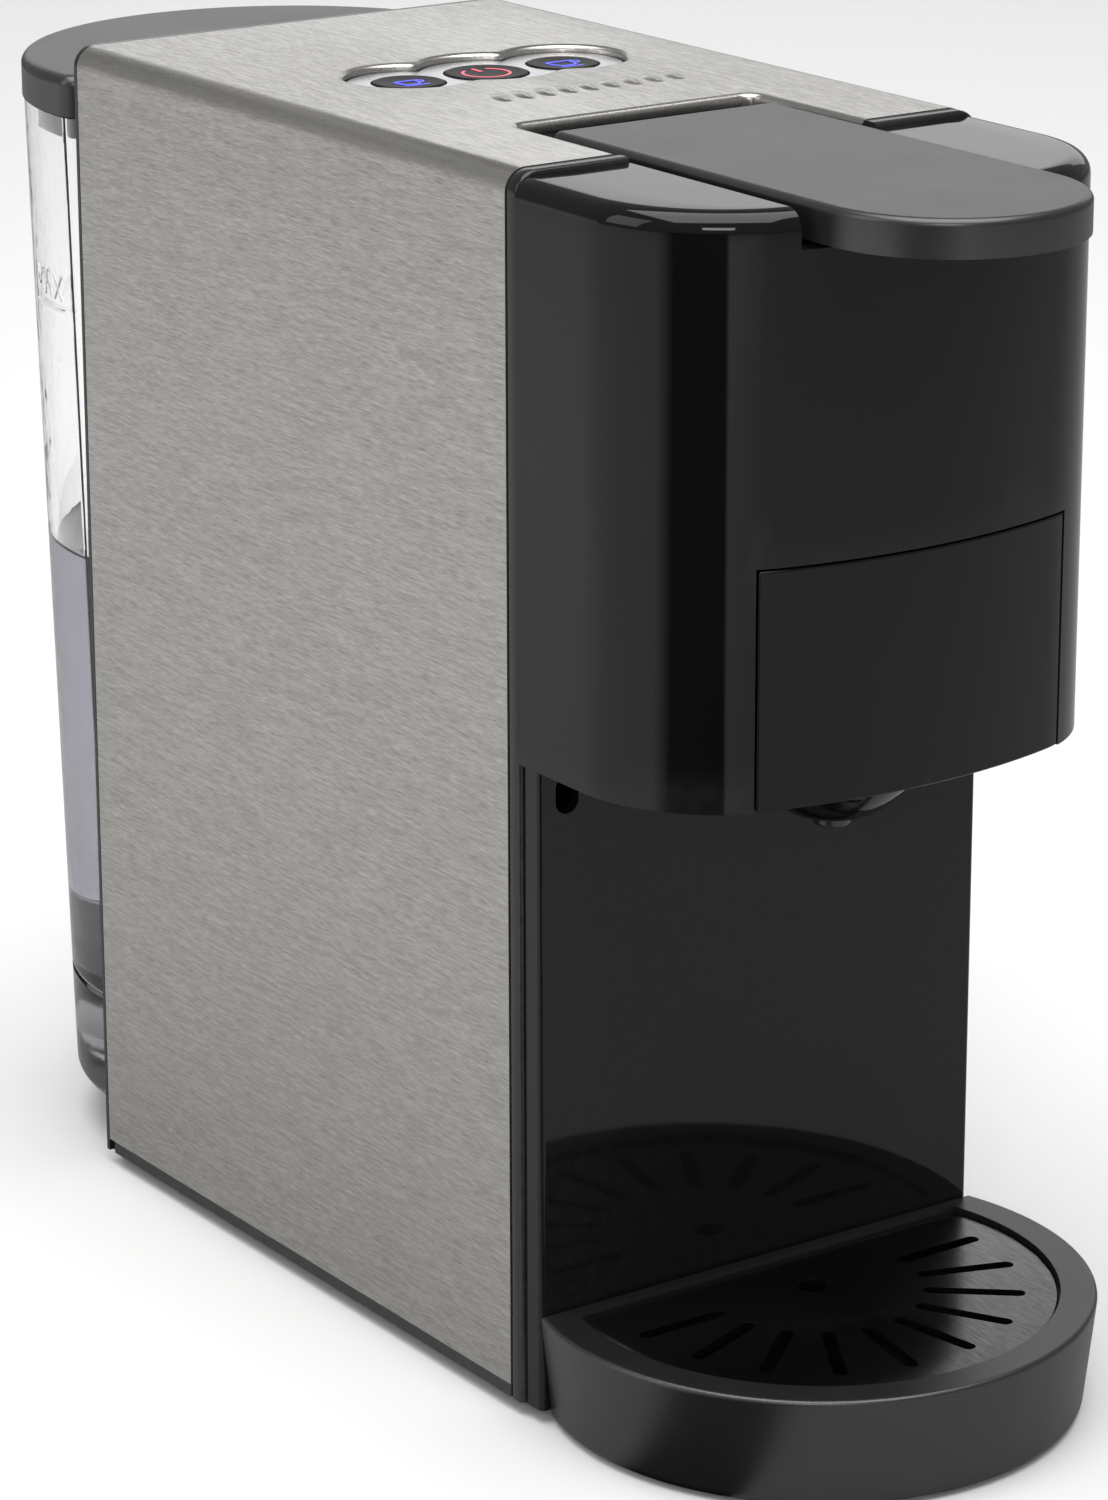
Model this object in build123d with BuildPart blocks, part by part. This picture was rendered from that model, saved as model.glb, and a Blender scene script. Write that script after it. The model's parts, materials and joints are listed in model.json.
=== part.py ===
"""Pod coffee machine: steel cover over a plastic chassis, a gloss front housing with a capsule adapter,
a top lever that lifts the brew head, a drip tray, three buttons and a lift-off water tank.

Frame: +Z up, the front faces -Y, the origin is on the table under the middle of the machine."""
from build123d import *
import os
from math import cos, degrees, pi, radians, sin, sqrt

os.makedirs("parts", exist_ok=True)

# ---------------------------------------------------------------- driving dimensions, mm
# steel cover: a U of bent sheet, open at the front, the rear and below
body_half = 55.0                         # half the width of the machine's body
steel_front, steel_back, inner_back = -67.0, 92.2, 90.0
steel_low, body_top = 5.7, 252.0
steel_t, bend_r = 0.8, 4.6
rim_front, rim_back, rim_low = -71.0, 93.5, 3.0      # plastic rims that show past the steel
wall = 2.5                               # plastic wall

# front housing (head) and the column under it
head_half, head_low, head_top = 55.5, 137.3, 250.8
corner_r, corner_x, corner_y = 31.0, 24.5, -93.0     # the housing's two big front corners
front_r = 130.0                                      # the gentle curve of its front
column_face, column_half = -76.4, 54.0
hook_x, hook_z, hook_w, hook_h = 47.6, 131.2, 5.4, 8.0

# lever on top
lever_half, lever_back, lever_nose = 26.6, -41.4, -129.1
lever_low, lever_top, lever_skin = 244.7, 252.0, 2.6
notch_half, notch_back, channel_floor = 29.1, -31.6, 243.4
shaft_y, shaft_z, shaft_r = -50.0, 239.0, 3.0
lever_open = radians(80)

# spiral cams: the follower pin's distance from the shaft falls evenly with the lever's angle
pin_r, pin_closed, pin_open = 2.0, 19.5, 8.5
cam_in, cam_out = 15.0, 18.0

# brew group and capsule adapter
brew_y = -98.0
piston_r, piston_low, piston_top = 19.5, 184.5, 208.0
rod_x, rod_r = 33.35, 3.0
frame_low, frame_top = 184.6, 188.6
door_half, door_top = 36.4, 184.0
adapter_top, cup_r = 180.0, 22.0
nozzle_low, dome_low, dome_r = 120.6, 126.0, 21.2

# buttons: a row of three under a three-lobed bezel
button_y, button_mid_x, button_pitch = 24.5, 3.0, 19.1
button_r, power_r = 7.5, 8.65
button_top, bezel_top = 250.7, 250.4
steel_lobes, deck_lobes = (14.3, 15.6), (12.9, 14.2)  # openings round the buttons: side and middle radius
seat_lobes, seat_z = (14.7, 16.0), 248.9
bezel_lobes, flange_lobes = (12.65, 13.95), (14.9, 16.2)

# tank, its lid and the stand it sits on: round at the back, flat against the machine
tank_y, tank_flat = 99.4, 94.1
tank_top_r, tank_low_r, tank_wall = 55.9, 51.6, 2.2
tank_low, tank_top, tank_floor = 36.6, 236.3, 40.6
lid_r, lid_low, lid_top = 56.3, 236.6, 245.4
stand_low, stand_top, stand_r = 10.6, 36.3, 51.0
spigot_y = 112.0
gland_z, cord_r = 12.0, 3.6

# drip tray and its grid
tray_y, tray_top_r, tray_low_r = -94.0, 57.0, 54.5
tray_low, tray_top, tray_back = 0.8, 23.9, -76.8
grid_r, grid_low, grid_top, grid_back = 49.2, 21.4, 22.9, -80.6
slot_in, slot_out, slot_w, slot_step = 22.0, 42.6, 3.0, 20


def save(part, label):
    """Label a finished piece and write it as its own STEP file."""
    part.label = label
    export_step(part, f"parts/{label}.step")


def body_outline(inset=0.0, low=steel_low):
    """Front view of the body: a rectangle whose two top corners are bent round."""
    half, top, r = body_half - inset, body_top - inset, bend_r - inset
    with BuildLine() as line:
        Polyline((-half, top - r), (-half, low), (half, low), (half, top - r))
        RadiusArc((half, top - r), (half - r, top), -r)
        Line((half - r, top), (r - half, top))
        RadiusArc((r - half, top), (-half, top - r), -r)
    return line.line


def head_outline(inset=0.0, back=rim_front):
    """Plan of the front housing: straight sides, two large corners and a gently curved front."""
    half, rc, rf = head_half - inset, corner_r - inset, front_r - inset
    gap = front_r - corner_r
    drop = sqrt(gap**2 - corner_x**2)
    front_c = corner_y + drop
    tx, ty = corner_x / gap * rf, front_c - drop / gap * rf
    mid = rc * sqrt(0.5)
    with BuildLine() as line:
        Line((-half, back), (-half, corner_y))
        ThreePointArc((-half, corner_y), (-corner_x - mid, corner_y - mid), (-tx, ty))
        ThreePointArc((-tx, ty), (0, front_c - rf), (tx, ty))
        ThreePointArc((tx, ty), (corner_x + mid, corner_y - mid), (half, corner_y))
        Line((half, corner_y), (half, back))
        Line((half, back), (-half, back))
    return line.line


def round_back(radius, flat, corner=4.0, centre=tank_y):
    """Plan of the tank, lid and stand: a circle cut flat on the machine's side."""
    reach = sqrt(radius**2 - (flat - centre) ** 2)
    with BuildSketch(mode=Mode.PRIVATE) as plan:
        with BuildLine():
            ThreePointArc((reach, flat), (0, centre + radius), (-reach, flat))
            Line((-reach, flat), (reach, flat))
        make_face()
        if corner:
            fillet(plan.vertices(), corner)
    return plan.sketch


def round_front(radius, flat):
    """Plan of the tray and grid: a circle cut flat on the column's side."""
    reach = sqrt(radius**2 - (flat - tray_y) ** 2)
    with BuildSketch(mode=Mode.PRIVATE) as plan:
        with BuildLine():
            ThreePointArc((-reach, flat), (0, tray_y - radius), (reach, flat))
            Line((reach, flat), (-reach, flat))
        make_face()
    return plan.sketch


def lobes(side_r, mid_r):
    """Three overlapping discs, one round each button."""
    with BuildSketch(mode=Mode.PRIVATE) as plan:
        with Locations((button_mid_x, button_y)):
            Circle(mid_r)
        with Locations((button_mid_x - button_pitch, button_y), (button_mid_x + button_pitch, button_y)):
            Circle(side_r)
    return plan.sketch


def notch_plan(grow=0.0):
    """Plan of the lever's notch in the top, open towards the front."""
    half, back = notch_half + grow, notch_back + grow
    with BuildSketch(mode=Mode.PRIVATE) as plan:
        with Locations((0, (back - 90) / 2)):
            Rectangle(2 * half, back + 90)
        fillet(plan.vertices().group_by(Axis.Y)[-1], 3.0)
    return plan.sketch


def slab(x0, x1, y0, y1, z0, z1, mode=Mode.ADD):
    """A block between two corners, for use inside a part."""
    with Locations(((x0 + x1) / 2, (y0 + y1) / 2, (z0 + z1) / 2)):
        return Box(x1 - x0, y1 - y0, z1 - z0, mode=mode)


def rod(x, y, z0, z1, r, mode=Mode.ADD):
    """An upright round bar or hole."""
    with Locations((x, y, (z0 + z1) / 2)):
        return Cylinder(r, z1 - z0, mode=mode)


# ---------------------------------------------------------------- steel cover
with BuildPart() as steel_cover:
    with BuildSketch(Plane.XZ.offset(-steel_back)):
        make_face(body_outline())
        make_face(body_outline(steel_t, steel_low - 5), mode=Mode.SUBTRACT)
    extrude(amount=steel_back - steel_front)
    with BuildSketch(Plane.XY.offset(body_top - 10)):
        add(notch_plan())
        add(lobes(*steel_lobes))
    extrude(amount=20, mode=Mode.SUBTRACT)
save(steel_cover.part, "steel_cover")

# ---------------------------------------------------------------- chassis
with BuildPart() as front_rim:           # the black rim in front of the steel
    with BuildSketch(Plane.XZ.offset(-steel_front + 0.2)):
        make_face(body_outline(0, rim_low))
        make_face(body_outline(3.4, rim_low + 3.2), mode=Mode.SUBTRACT)
    extrude(amount=steel_front - rim_front - 0.2)
    slab(-notch_half - 0.2, notch_half + 0.2, rim_front - 1, steel_front + 1, 240, 260, Mode.SUBTRACT)
save(front_rim.part, "front_rim")

with BuildPart() as rear_panel:          # closes the back, behind the tank
    with BuildSketch(Plane.XZ.offset(-rim_back)):
        make_face(body_outline(0, rim_low))
    extrude(amount=rim_back - steel_back - 0.2)
    with BuildSketch(Plane.XZ.offset(-rim_back)):
        make_face(body_outline(steel_t + 0.2, rim_low))
    extrude(amount=rim_back - inner_back - 0.2)
    with BuildSketch(Plane.XZ.offset(-rim_back)):
        with Locations((0, gland_z)):
            Circle(5.0)
        with Locations((0, 24.0)):
            Circle(4.6)
    extrude(amount=10, mode=Mode.SUBTRACT)
save(rear_panel.part, "rear_panel")

foot_spots = [(x, y) for x in (-40, 40) for y in (-54, 76)]
screw_spots = [(x, y) for x in (-46.5, 46.5) for y in (-30, 50)]
with BuildPart() as base_plate:
    slab(-51.4, 51.4, steel_front, inner_back, rim_low, 6.2)
    for x, y in screw_spots:
        rod(x, y, rim_low - 1, 7, 1.6, Mode.SUBTRACT)
        rod(x, y, rim_low - 1, rim_low + 1.8, 3.3, Mode.SUBTRACT)
save(base_plate.part, "base_plate")

for side, label in ((-1, "chassis_left"), (1, "chassis_right")):
    with BuildPart() as chassis_side:    # the plastic wall that the steel lies on, with its screw bosses
        outer, inner = side * (body_half - steel_t - 0.1), side * 51.5
        slab(min(outer, inner), max(outer, inner), steel_front, inner_back, rim_low + 0.1, 246.0)
        for x, y in screw_spots:
            if x * side > 0:
                rod(x, y, 6.3, 20.0, 3.4)
                slab(min(x, inner), max(x, inner), y - 1.2, y + 1.2, 6.3, 20.0)
                rod(x, y, 6.3, 18.0, 1.45, Mode.SUBTRACT)
        outer_low = side * body_half
        slab(min(outer_low, inner), max(outer_low, inner), steel_front, inner_back, rim_low + 0.1, steel_low - 0.1)
    save(chassis_side.part, label)

with BuildPart() as top_deck:            # carries the buttons and frames the lever's notch
    slab(-50.0, 50.0, steel_front, inner_back, 246.9, body_top - steel_t - 0.1)
    with BuildSketch(Plane.XY.offset(240)):
        add(notch_plan(0.3))
        add(lobes(*deck_lobes))
    extrude(amount=20, mode=Mode.SUBTRACT)
    with BuildSketch(Plane.XY.offset(seat_z)):        # step that leaves room for the steel's pressed lip
        add(lobes(*seat_lobes))
    extrude(amount=20, mode=Mode.SUBTRACT)
save(top_deck.part, "top_deck")

with BuildPart() as lever_well:          # skirt that hides the inside behind the lever
    with BuildSketch(Plane.XY.offset(226)):
        add(notch_plan(2.0))
        add(notch_plan(0.3), mode=Mode.SUBTRACT)
        with Locations((0, -115)):
            Rectangle(80, 96, mode=Mode.SUBTRACT)
    extrude(amount=20.8)
    slab(-notch_half - 1, notch_half + 1, -36.5, notch_back + 1, 226, 228)      # floor under the gap behind the lever
    with Locations(Location((0, shaft_y, shaft_z), (0, 90, 0))):
        Cylinder(shaft_r + 0.6, 80, mode=Mode.SUBTRACT)
save(lever_well.part, "lever_well")

# ---------------------------------------------------------------- front housing and column
with BuildPart() as front_housing:
    with BuildSketch(Plane.XY.offset(head_low)):
        make_face(head_outline())
    extrude(amount=head_top - head_low)
    rim = front_housing.faces().sort_by(Axis.Z)[-1].edges()
    fillet(rim.filter_by(lambda e: e.center().Y < rim_front - 0.5), 4.0)
    with BuildSketch(Plane.XY.offset(head_low + wall)):
        make_face(head_outline(wall, rim_front + 1))
    extrude(amount=head_top - head_low - 2 * wall, mode=Mode.SUBTRACT)
    # trough for the lever
    slab(-notch_half - wall, notch_half + wall, -124.0, rim_front, channel_floor - wall, head_top - wall)
    slab(-notch_half, notch_half, -140.0, rim_front + 5, channel_floor, body_top + 5, Mode.SUBTRACT)
    # bay for the adapter: a window in the front and a slot in the floor
    slab(-door_half - 0.4, door_half + 0.4, -132, -116, head_low - 1, door_top + 0.4, Mode.SUBTRACT)
    slab(-door_half - 0.4, door_half + 0.4, -132, rim_front + 5, head_low - 1, head_low + wall + 1, Mode.SUBTRACT)
save(front_housing.part, "front_housing")

with BuildPart() as column_panel:        # flat front of the column, with two hook holes and the tray's slots
    slab(-column_half, column_half, column_face, rim_front - 0.1, rim_low, head_low - 0.1)
    slab(-column_half + wall, column_half - wall, column_face + wall, rim_front + 1, rim_low + wall,
         head_low - wall, Mode.SUBTRACT)
    fillet(column_panel.edges().filter_by(Axis.Z).group_by(Axis.Y)[0], 1.2)
    with BuildSketch(Plane.XZ.offset(-column_face + 5)):
        with Locations((-hook_x, hook_z), (hook_x, hook_z)):
            SlotOverall(hook_h, hook_w, rotation=90)
        with Locations((-24, 11.5), (24, 11.5)):
            Rectangle(11.2, 7.2)
    extrude(amount=-12, mode=Mode.SUBTRACT)
save(column_panel.part, "column_panel")

# ---------------------------------------------------------------- capsule adapter, one drawer
with BuildPart() as adapter_front:       # the housing's front skin between the seams
    with BuildSketch(Plane.XY.offset(head_low + 0.1)):
        make_face(head_outline())
        make_face(head_outline(wall, rim_front + 1), mode=Mode.SUBTRACT)
        with Locations((0, -110)):
            Rectangle(2 * door_half, 60, mode=Mode.INTERSECT)
    extrude(amount=door_top - head_low - 0.1)
save(adapter_front.part, "adapter_front")

rail_low, rail_high = 150.0, 152.4
with BuildPart() as adapter_body:
    slab(-36.0, 36.0, -119.6, -71.5, 141.0, adapter_top)
    slab(-33.5, 33.5, -117.1, -74.0, 140.0, adapter_top - 3, Mode.SUBTRACT)
    slab(-33.5, 33.5, -117.1, -74.0, 141.0, 143.5)
    rod(0, brew_y, 143.0, adapter_top, cup_r + 2.2)
    rod(0, brew_y, 140.0, 190.0, cup_r + 0.1, Mode.SUBTRACT)
    rod(0, brew_y, adapter_top - 1.5, 190.0, cup_r + 3.2, Mode.SUBTRACT)
    for side in (-1, 1):                 # a groove along each side runs on the rails
        slab(side * 35.2 - 1.2, side * 35.2 + 1.2, -116.6, -60, rail_low - 0.3, rail_high + 0.3, Mode.SUBTRACT)
        slab(side * 22 - 4, side * 22 + 4, -124.6, -119.6, 150, 172)
    with BuildSketch(Plane.XY.offset(130)):
        make_face(head_outline(wall + 0.05, 0))
    extrude(amount=60, mode=Mode.INTERSECT)
save(adapter_body.part, "adapter_body")

with BuildPart() as capsule_cup:
    with BuildSketch(Plane.XZ):
        with BuildLine():
            Polyline((2.5, 147.0), (4.0, 147.0), (4.0, 149.0), (15.5, 149.6), (20.6, 178.9), (25.0, 178.9),
                     (25.0, adapter_top), (19.8, adapter_top), (14.6, 151.0), (2.5, 150.4), close=True)
        make_face()
    revolve(axis=Axis.Z)
capsule_cup = Pos(0, brew_y, 0) * capsule_cup.part
save(capsule_cup, "capsule_cup")

with BuildPart() as spout_dome:          # shallow funnel that hangs below the housing
    with BuildSketch(Plane.XZ):
        with BuildLine():
            Line((0, dome_low), (6.0, dome_low))
            ThreePointArc((6.0, dome_low), (15.5, 129.6), (dome_r, head_low - 0.3))
            Line((dome_r, head_low - 0.3), (dome_r, 140.9))
            Line((dome_r, 140.9), (dome_r - 2.2, 140.9))
            Line((dome_r - 2.2, 140.9), (dome_r - 2.2, head_low))
            ThreePointArc((dome_r - 2.2, head_low), (13.8, 131.4), (5.0, dome_low + 2))
            Line((5.0, dome_low + 2), (0, dome_low + 2))
            Line((0, dome_low + 2), (0, dome_low))
        make_face()
    revolve(axis=Axis.Z)
    rod(0, 0, dome_low - 1, dome_low + 3, 3.7, Mode.SUBTRACT)
spout_dome = Pos(0, brew_y, 0) * spout_dome.part
save(spout_dome, "spout_dome")

with BuildPart() as nozzle:
    rod(0, brew_y, nozzle_low, dome_low + 3, 3.7)
    rod(0, brew_y, dome_low + 2, dome_low + 3, 5.0)
    fillet(nozzle.faces().sort_by(Axis.Z)[0].edges(), 0.8)
    rod(0, brew_y, nozzle_low - 1, dome_low + 4, 1.8, Mode.SUBTRACT)
save(nozzle.part, "nozzle")

# ---------------------------------------------------------------- brew frame, rails and guide rods
with BuildPart() as brew_frame:
    with BuildSketch(Plane.XY.offset(frame_low)):
        with BuildLine():
            Polyline((-46, -42), (-46, -104), (-26, -119.5), (26, -119.5), (46, -104), (46, -42), close=True)
        make_face()
        with Locations((0, brew_y)):
            Circle(piston_r + 0.6, mode=Mode.SUBTRACT)
        with Locations((-rod_x, brew_y), (rod_x, brew_y)):
            Circle(rod_r, mode=Mode.SUBTRACT)
    extrude(amount=frame_top - frame_low)
    for side in (-1, 1):
        slab(side * 38.4 - 1.6, side * 38.4 + 1.6, -111.0, -45.0, rail_low, frame_low)
        slab(side * 36.0 - 1.2, side * 36.0 + 1.2, -111.0, -45.0, rail_low, rail_high)
        slab(side * 48.7 - 2.75, side * 48.7 + 2.75, -64.0, -44.0, frame_low, frame_top)
save(brew_frame.part, "brew_frame")

for side, label in ((-1, "brew_tower_left"), (1, "brew_tower_right")):
    with BuildPart() as tower:           # holds the lever's shaft and the top of a guide rod
        slab(side * rod_x - 1.75, side * rod_x + 1.75, -58.0, -42.0, frame_top, 245.5)
        slab(side * rod_x - 1.75, side * rod_x + 1.75, -98.0, -58.0, 231.5, 238.5)
        rod(side * rod_x, brew_y, 231.5, 238.5, rod_r + 2.4)
        rod(side * rod_x, brew_y, 230.0, 240.0, rod_r, Mode.SUBTRACT)
        with Locations(Location((side * rod_x, shaft_y, shaft_z), (0, 90, 0))):
            Cylinder(shaft_r + 0.05, 10, mode=Mode.SUBTRACT)
    save(tower.part, label)

with BuildPart() as guide_rods:
    for side in (-1, 1):
        rod(side * rod_x, brew_y, frame_low + 0.2, 239.0, rod_r)
save(guide_rods.part, "guide_rods")

# ---------------------------------------------------------------- moving brew head
pin_z = shaft_z - pin_closed
with BuildPart() as brew_yoke:           # slides on the rods, hangs from the cams by two pins
    slab(-rod_x - 5.4, rod_x + 5.4, brew_y - 8.0, brew_y + 8.0, piston_top, piston_top + 5)
    fillet(brew_yoke.edges().filter_by(Axis.Z), 3.0)
    for side in (-1, 1):
        slab(side * 20.4 - 1.4, side * 20.4 + 1.4, brew_y + 7, -47.0, piston_top, pin_z + 2.6)
        with Locations(Location((side * 17.9, shaft_y, pin_z), (0, 90, 0))):
            Cylinder(pin_r, 7.6)
        with Locations(Location((side * 20.4, shaft_y, pin_z), (0, 90, 0))):
            Cylinder(3.0, 2.8)
        rod(side * rod_x, brew_y, piston_top - 3, piston_top + 9, rod_r + 1.9)
        rod(side * rod_x, brew_y, 200, 225, rod_r + 0.06, Mode.SUBTRACT)
    rod(0, brew_y, 200, 225, 5.2, Mode.SUBTRACT)
save(brew_yoke.part, "brew_yoke")

with BuildPart() as brew_head:           # the piston, with the hot water inlet on top
    rod(0, brew_y, piston_low, piston_top, piston_r)
    chamfer(brew_head.faces().sort_by(Axis.Z)[-1].edges(), 1.5)
    rod(0, brew_y, piston_low - 1, piston_low + 2.0, 14.6, Mode.SUBTRACT)
    rod(0, brew_y, piston_top - 1, piston_top + 10, 5.0)
    with Locations(Location((0, brew_y + 10.25, piston_top + 7.5), (90, 0, 0))):
        Cylinder(2.5, 20.5)
    rod(0, brew_y, piston_low, piston_top + 7, 1.5, Mode.SUBTRACT)
save(brew_head.part, "brew_head")

with BuildPart() as brew_seal:
    with BuildSketch(Plane.XY.offset(adapter_top + 0.8)):
        with Locations((0, brew_y)):
            Circle(19.0)
            Circle(15.2, mode=Mode.SUBTRACT)
    extrude(amount=piston_low - adapter_top - 0.8)
    fillet(brew_seal.faces().sort_by(Axis.Z)[0].edges(), 0.8)
save(brew_seal.part, "brew_seal")

with BuildPart() as needle_plate:        # three hollow points that pierce the capsule's lid
    rod(0, brew_y, piston_low + 0.4, piston_low + 2.0, 14.5)
    with Locations((0, brew_y, piston_low - 1.2)):
        with PolarLocations(8.0, 3, 90):
            Cone(0.3, 1.6, 3.4)
    rod(0, brew_y, piston_low, piston_low + 3, 1.4, Mode.SUBTRACT)
save(needle_plate.part, "needle_plate")

# ---------------------------------------------------------------- lever, shaft and cams
lever_r = lever_half


def lever_plan(inset=0.0):
    """Plan of the lever: straight sides, a square back and a half-round nose."""
    r, back = lever_half - inset, lever_back - inset
    with BuildSketch(mode=Mode.PRIVATE) as plan:
        with BuildLine():
            Line((-r, back), (-r, lever_nose))
            ThreePointArc((-r, lever_nose), (0, lever_nose - r), (r, lever_nose))
            Line((r, lever_nose), (r, back))
            Line((r, back), (-r, back))
        make_face()
        fillet(plan.vertices().group_by(Axis.Y)[-1], max(1.8 - inset, 0.4))
    return plan.sketch


with BuildPart() as lever:
    with BuildSketch(Plane.XY.offset(lever_low)):
        add(lever_plan())
    extrude(amount=lever_top - lever_low)
    fillet(lever.faces().sort_by(Axis.Z)[-1].edges(), 1.4)
    with BuildSketch(Plane.XY.offset(lever_low)):
        add(lever_plan(lever_skin))
        for y in (-70, -92, -114):
            with Locations((0, y)):
                Rectangle(2 * lever_half, 1.6, mode=Mode.SUBTRACT)
    extrude(amount=lever_top - lever_low - lever_skin, mode=Mode.SUBTRACT)
    for side in (-1, 1):                 # two cheeks reach down to the shaft
        slab(side * 24.4 - 2, side * 24.4 + 2, shaft_y - 6, shaft_y + 6, shaft_z, lever_low + 1)
        with Locations(Location((side * 24.4, shaft_y, shaft_z), (0, 90, 0))):
            Cylinder(6.0, 4)
            Cylinder(shaft_r, 12, mode=Mode.SUBTRACT)
save(lever.part, "lever")

with BuildPart() as lever_shaft:
    with Locations(Location((0, shaft_y, shaft_z), (0, 90, 0))):
        Cylinder(shaft_r, 2 * (rod_x + 3.6))
    for side in (-1, 1):                 # groove for a clip at each end
        with Locations(Location((side * (rod_x + 2.5), shaft_y, shaft_z), (0, 90, 0))):
            Cylinder(shaft_r + 1, 0.9, mode=Mode.SUBTRACT)
            Cylinder(shaft_r - 0.7, 0.9)
save(lever_shaft.part, "lever_shaft")

with BuildPart() as shaft_clips:
    for side in (-1, 1):
        with Locations(Location((side * (rod_x + 2.5), shaft_y, shaft_z), (0, 90, 0))):
            Cylinder(shaft_r + 2.2, 0.8)
            Cylinder(shaft_r - 0.68, 2, mode=Mode.SUBTRACT)
    slab(-50, 50, shaft_y - 2.0, shaft_y + 2.0, shaft_z - 8, shaft_z, Mode.SUBTRACT)
save(shaft_clips.part, "shaft_clips")


def spiral(angle, offset=0.0):
    """A point beside the cam's even spiral; angle 0 hangs straight below the shaft."""
    k = (pin_open - pin_closed) / lever_open
    r = pin_closed + k * angle
    y, z = r * sin(angle), -r * cos(angle)
    ty, tz = k * sin(angle) + r * cos(angle), -k * cos(angle) + r * sin(angle)
    n = sqrt(ty**2 + tz**2)
    return (shaft_y + y + tz / n * offset, shaft_z + z - ty / n * offset)


def beyond(angle, offset, sign):
    """The end of a band round the spiral, pushed along the spiral by the offset."""
    y0, z0 = spiral(angle)
    y1, z1 = spiral(angle + sign * 1e-3)
    n = sqrt((y1 - y0) ** 2 + (z1 - z0) ** 2)
    return (y0 + (y1 - y0) / n * offset, z0 + (z1 - z0) / n * offset)


def spiral_band(half):
    """A band of even width round the spiral with round ends."""
    angles = [lever_open * i / 10 for i in range(11)]
    with BuildSketch(Plane.YZ, mode=Mode.PRIVATE) as band:
        with BuildLine():
            Spline(*[spiral(a, half) for a in angles])
            ThreePointArc(spiral(angles[-1], half), beyond(angles[-1], half, 1), spiral(angles[-1], -half))
            Spline(*[spiral(a, -half) for a in reversed(angles)])
            ThreePointArc(spiral(angles[0], -half), beyond(angles[0], half, -1), spiral(angles[0], half))
        make_face()
    return band.sketch


with BuildPart() as lever_cams:
    for side in (-1, 1):
        with BuildSketch(Plane.YZ.offset(cam_in if side > 0 else -cam_out)) as cam:
            with Locations((shaft_y, shaft_z)):
                Circle(6.4)
        extrude(amount=cam_out - cam_in)
        extrude(Pos(cam_in if side > 0 else -cam_out, 0, 0) * spiral_band(pin_r + 1.9), amount=cam_out - cam_in)
    extrude(Pos(-30, 0, 0) * spiral_band(pin_r + 0.12), amount=60, mode=Mode.SUBTRACT)
    with Locations(Location((0, shaft_y, shaft_z), (0, 90, 0))):
        Cylinder(shaft_r, 60, mode=Mode.SUBTRACT)
save(lever_cams.part, "lever_cams")

# ---------------------------------------------------------------- buttons and their board
button_xs = [button_mid_x - button_pitch, button_mid_x, button_mid_x + button_pitch]
button_rs = [button_r, power_r, button_r]
button_names = ["button_small_cup", "button_power", "button_large_cup"]

with BuildPart() as button_bezel:        # three-lobed plate with a flange that clips under the deck
    with BuildSketch(Plane.XY.offset(bezel_top - 3.5)):
        add(lobes(*bezel_lobes))
    extrude(amount=3.5)
    with BuildSketch(Plane.XY.offset(bezel_top - 5.0)):
        add(lobes(*flange_lobes))
    extrude(amount=1.5)
    for x, r in zip(button_xs, button_rs):
        rod(x, button_y, bezel_top - 6, bezel_top + 1, r + 0.35, Mode.SUBTRACT)
save(button_bezel.part, "button_bezel")

for x, r, label in zip(button_xs, button_rs, button_names):
    with BuildPart() as button:          # cap, retaining flange below the bezel, and a plunger
        rod(x, button_y, 245.1, button_top, r)
        fillet(button.faces().sort_by(Axis.Z)[-1].edges(), 0.5)
        rod(x, button_y, 244.1, 245.1, r + 0.9)
        rod(x, button_y, 243.4, 244.1, 2.5)
    save(button.part, label)

with BuildPart() as control_board:
    slab(button_mid_x - 34, button_mid_x + 34, 8.0, 41.0, 238.0, 239.6)
save(control_board.part, "control_board")

with BuildPart() as board_posts:         # four posts hang the board from the deck
    for x in (-31, 31):
        for y in (10.5, 38.5):
            rod(button_mid_x + x, y, 239.6, 246.9, 2.2)
save(board_posts.part, "board_posts")

with BuildPart() as tact_switches:
    for x in button_xs:
        slab(x - 3, x + 3, button_y - 3, button_y + 3, 239.6, 241.6)
        rod(x, button_y, 241.6, 242.2, 1.7)
save(tact_switches.part, "tact_switches")

# ---------------------------------------------------------------- heater, pump and water path
heater_y0, heater_y1 = -28.0, 24.0
with BuildPart() as thermoblock:         # cast block with a water inlet below and an outlet in front
    slab(-27, 27, heater_y0, heater_y1, 196.0, 222.0)
    fillet(thermoblock.edges().filter_by(Axis.Z), 6.0)
    with Locations(Location((0, heater_y0 - 4, 209), (90, 0, 0))):
        Cylinder(4.0, 8)
    with Locations((0, heater_y1 - 8, 193)):
        Cylinder(4.0, 8)
save(thermoblock.part, "thermoblock")

with BuildPart() as heater_bracket:      # hangs the heater from the side walls
    slab(-51.4, 51.4, -10, 6, 222.2, 224.2)
    for side in (-1, 1):
        slab(side * 50.4 - 1, side * 50.4 + 1, -10, 6, 210, 224.2)
save(heater_bracket.part, "heater_bracket")

with BuildPart() as thermostat:
    rod(16, 0, 224.3, 231.0, 7.0)
    rod(16, 0, 231.0, 233.0, 4.5)
save(thermostat.part, "thermostat")

pump_z = 45.0
with BuildPart() as water_pump:          # vibration pump: iron frame round a coil, water runs along it
    slab(-19, 19, -24, 26, pump_z - 17, pump_z + 17)
    for y, r, length in ((-32, 9.0, 16), (-44, 4.0, 10), (33, 9.0, 14), (45, 4.0, 10)):
        with Locations(Location((0, y, pump_z), (90, 0, 0))):
            Cylinder(r, length)
save(water_pump.part, "water_pump")

with BuildPart() as pump_mounts:         # two rubber feet under the pump
    for y in (-18, 20):
        slab(-16, 16, y - 5, y + 5, 6.3, pump_z - 17)
save(pump_mounts.part, "pump_mounts")

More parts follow.
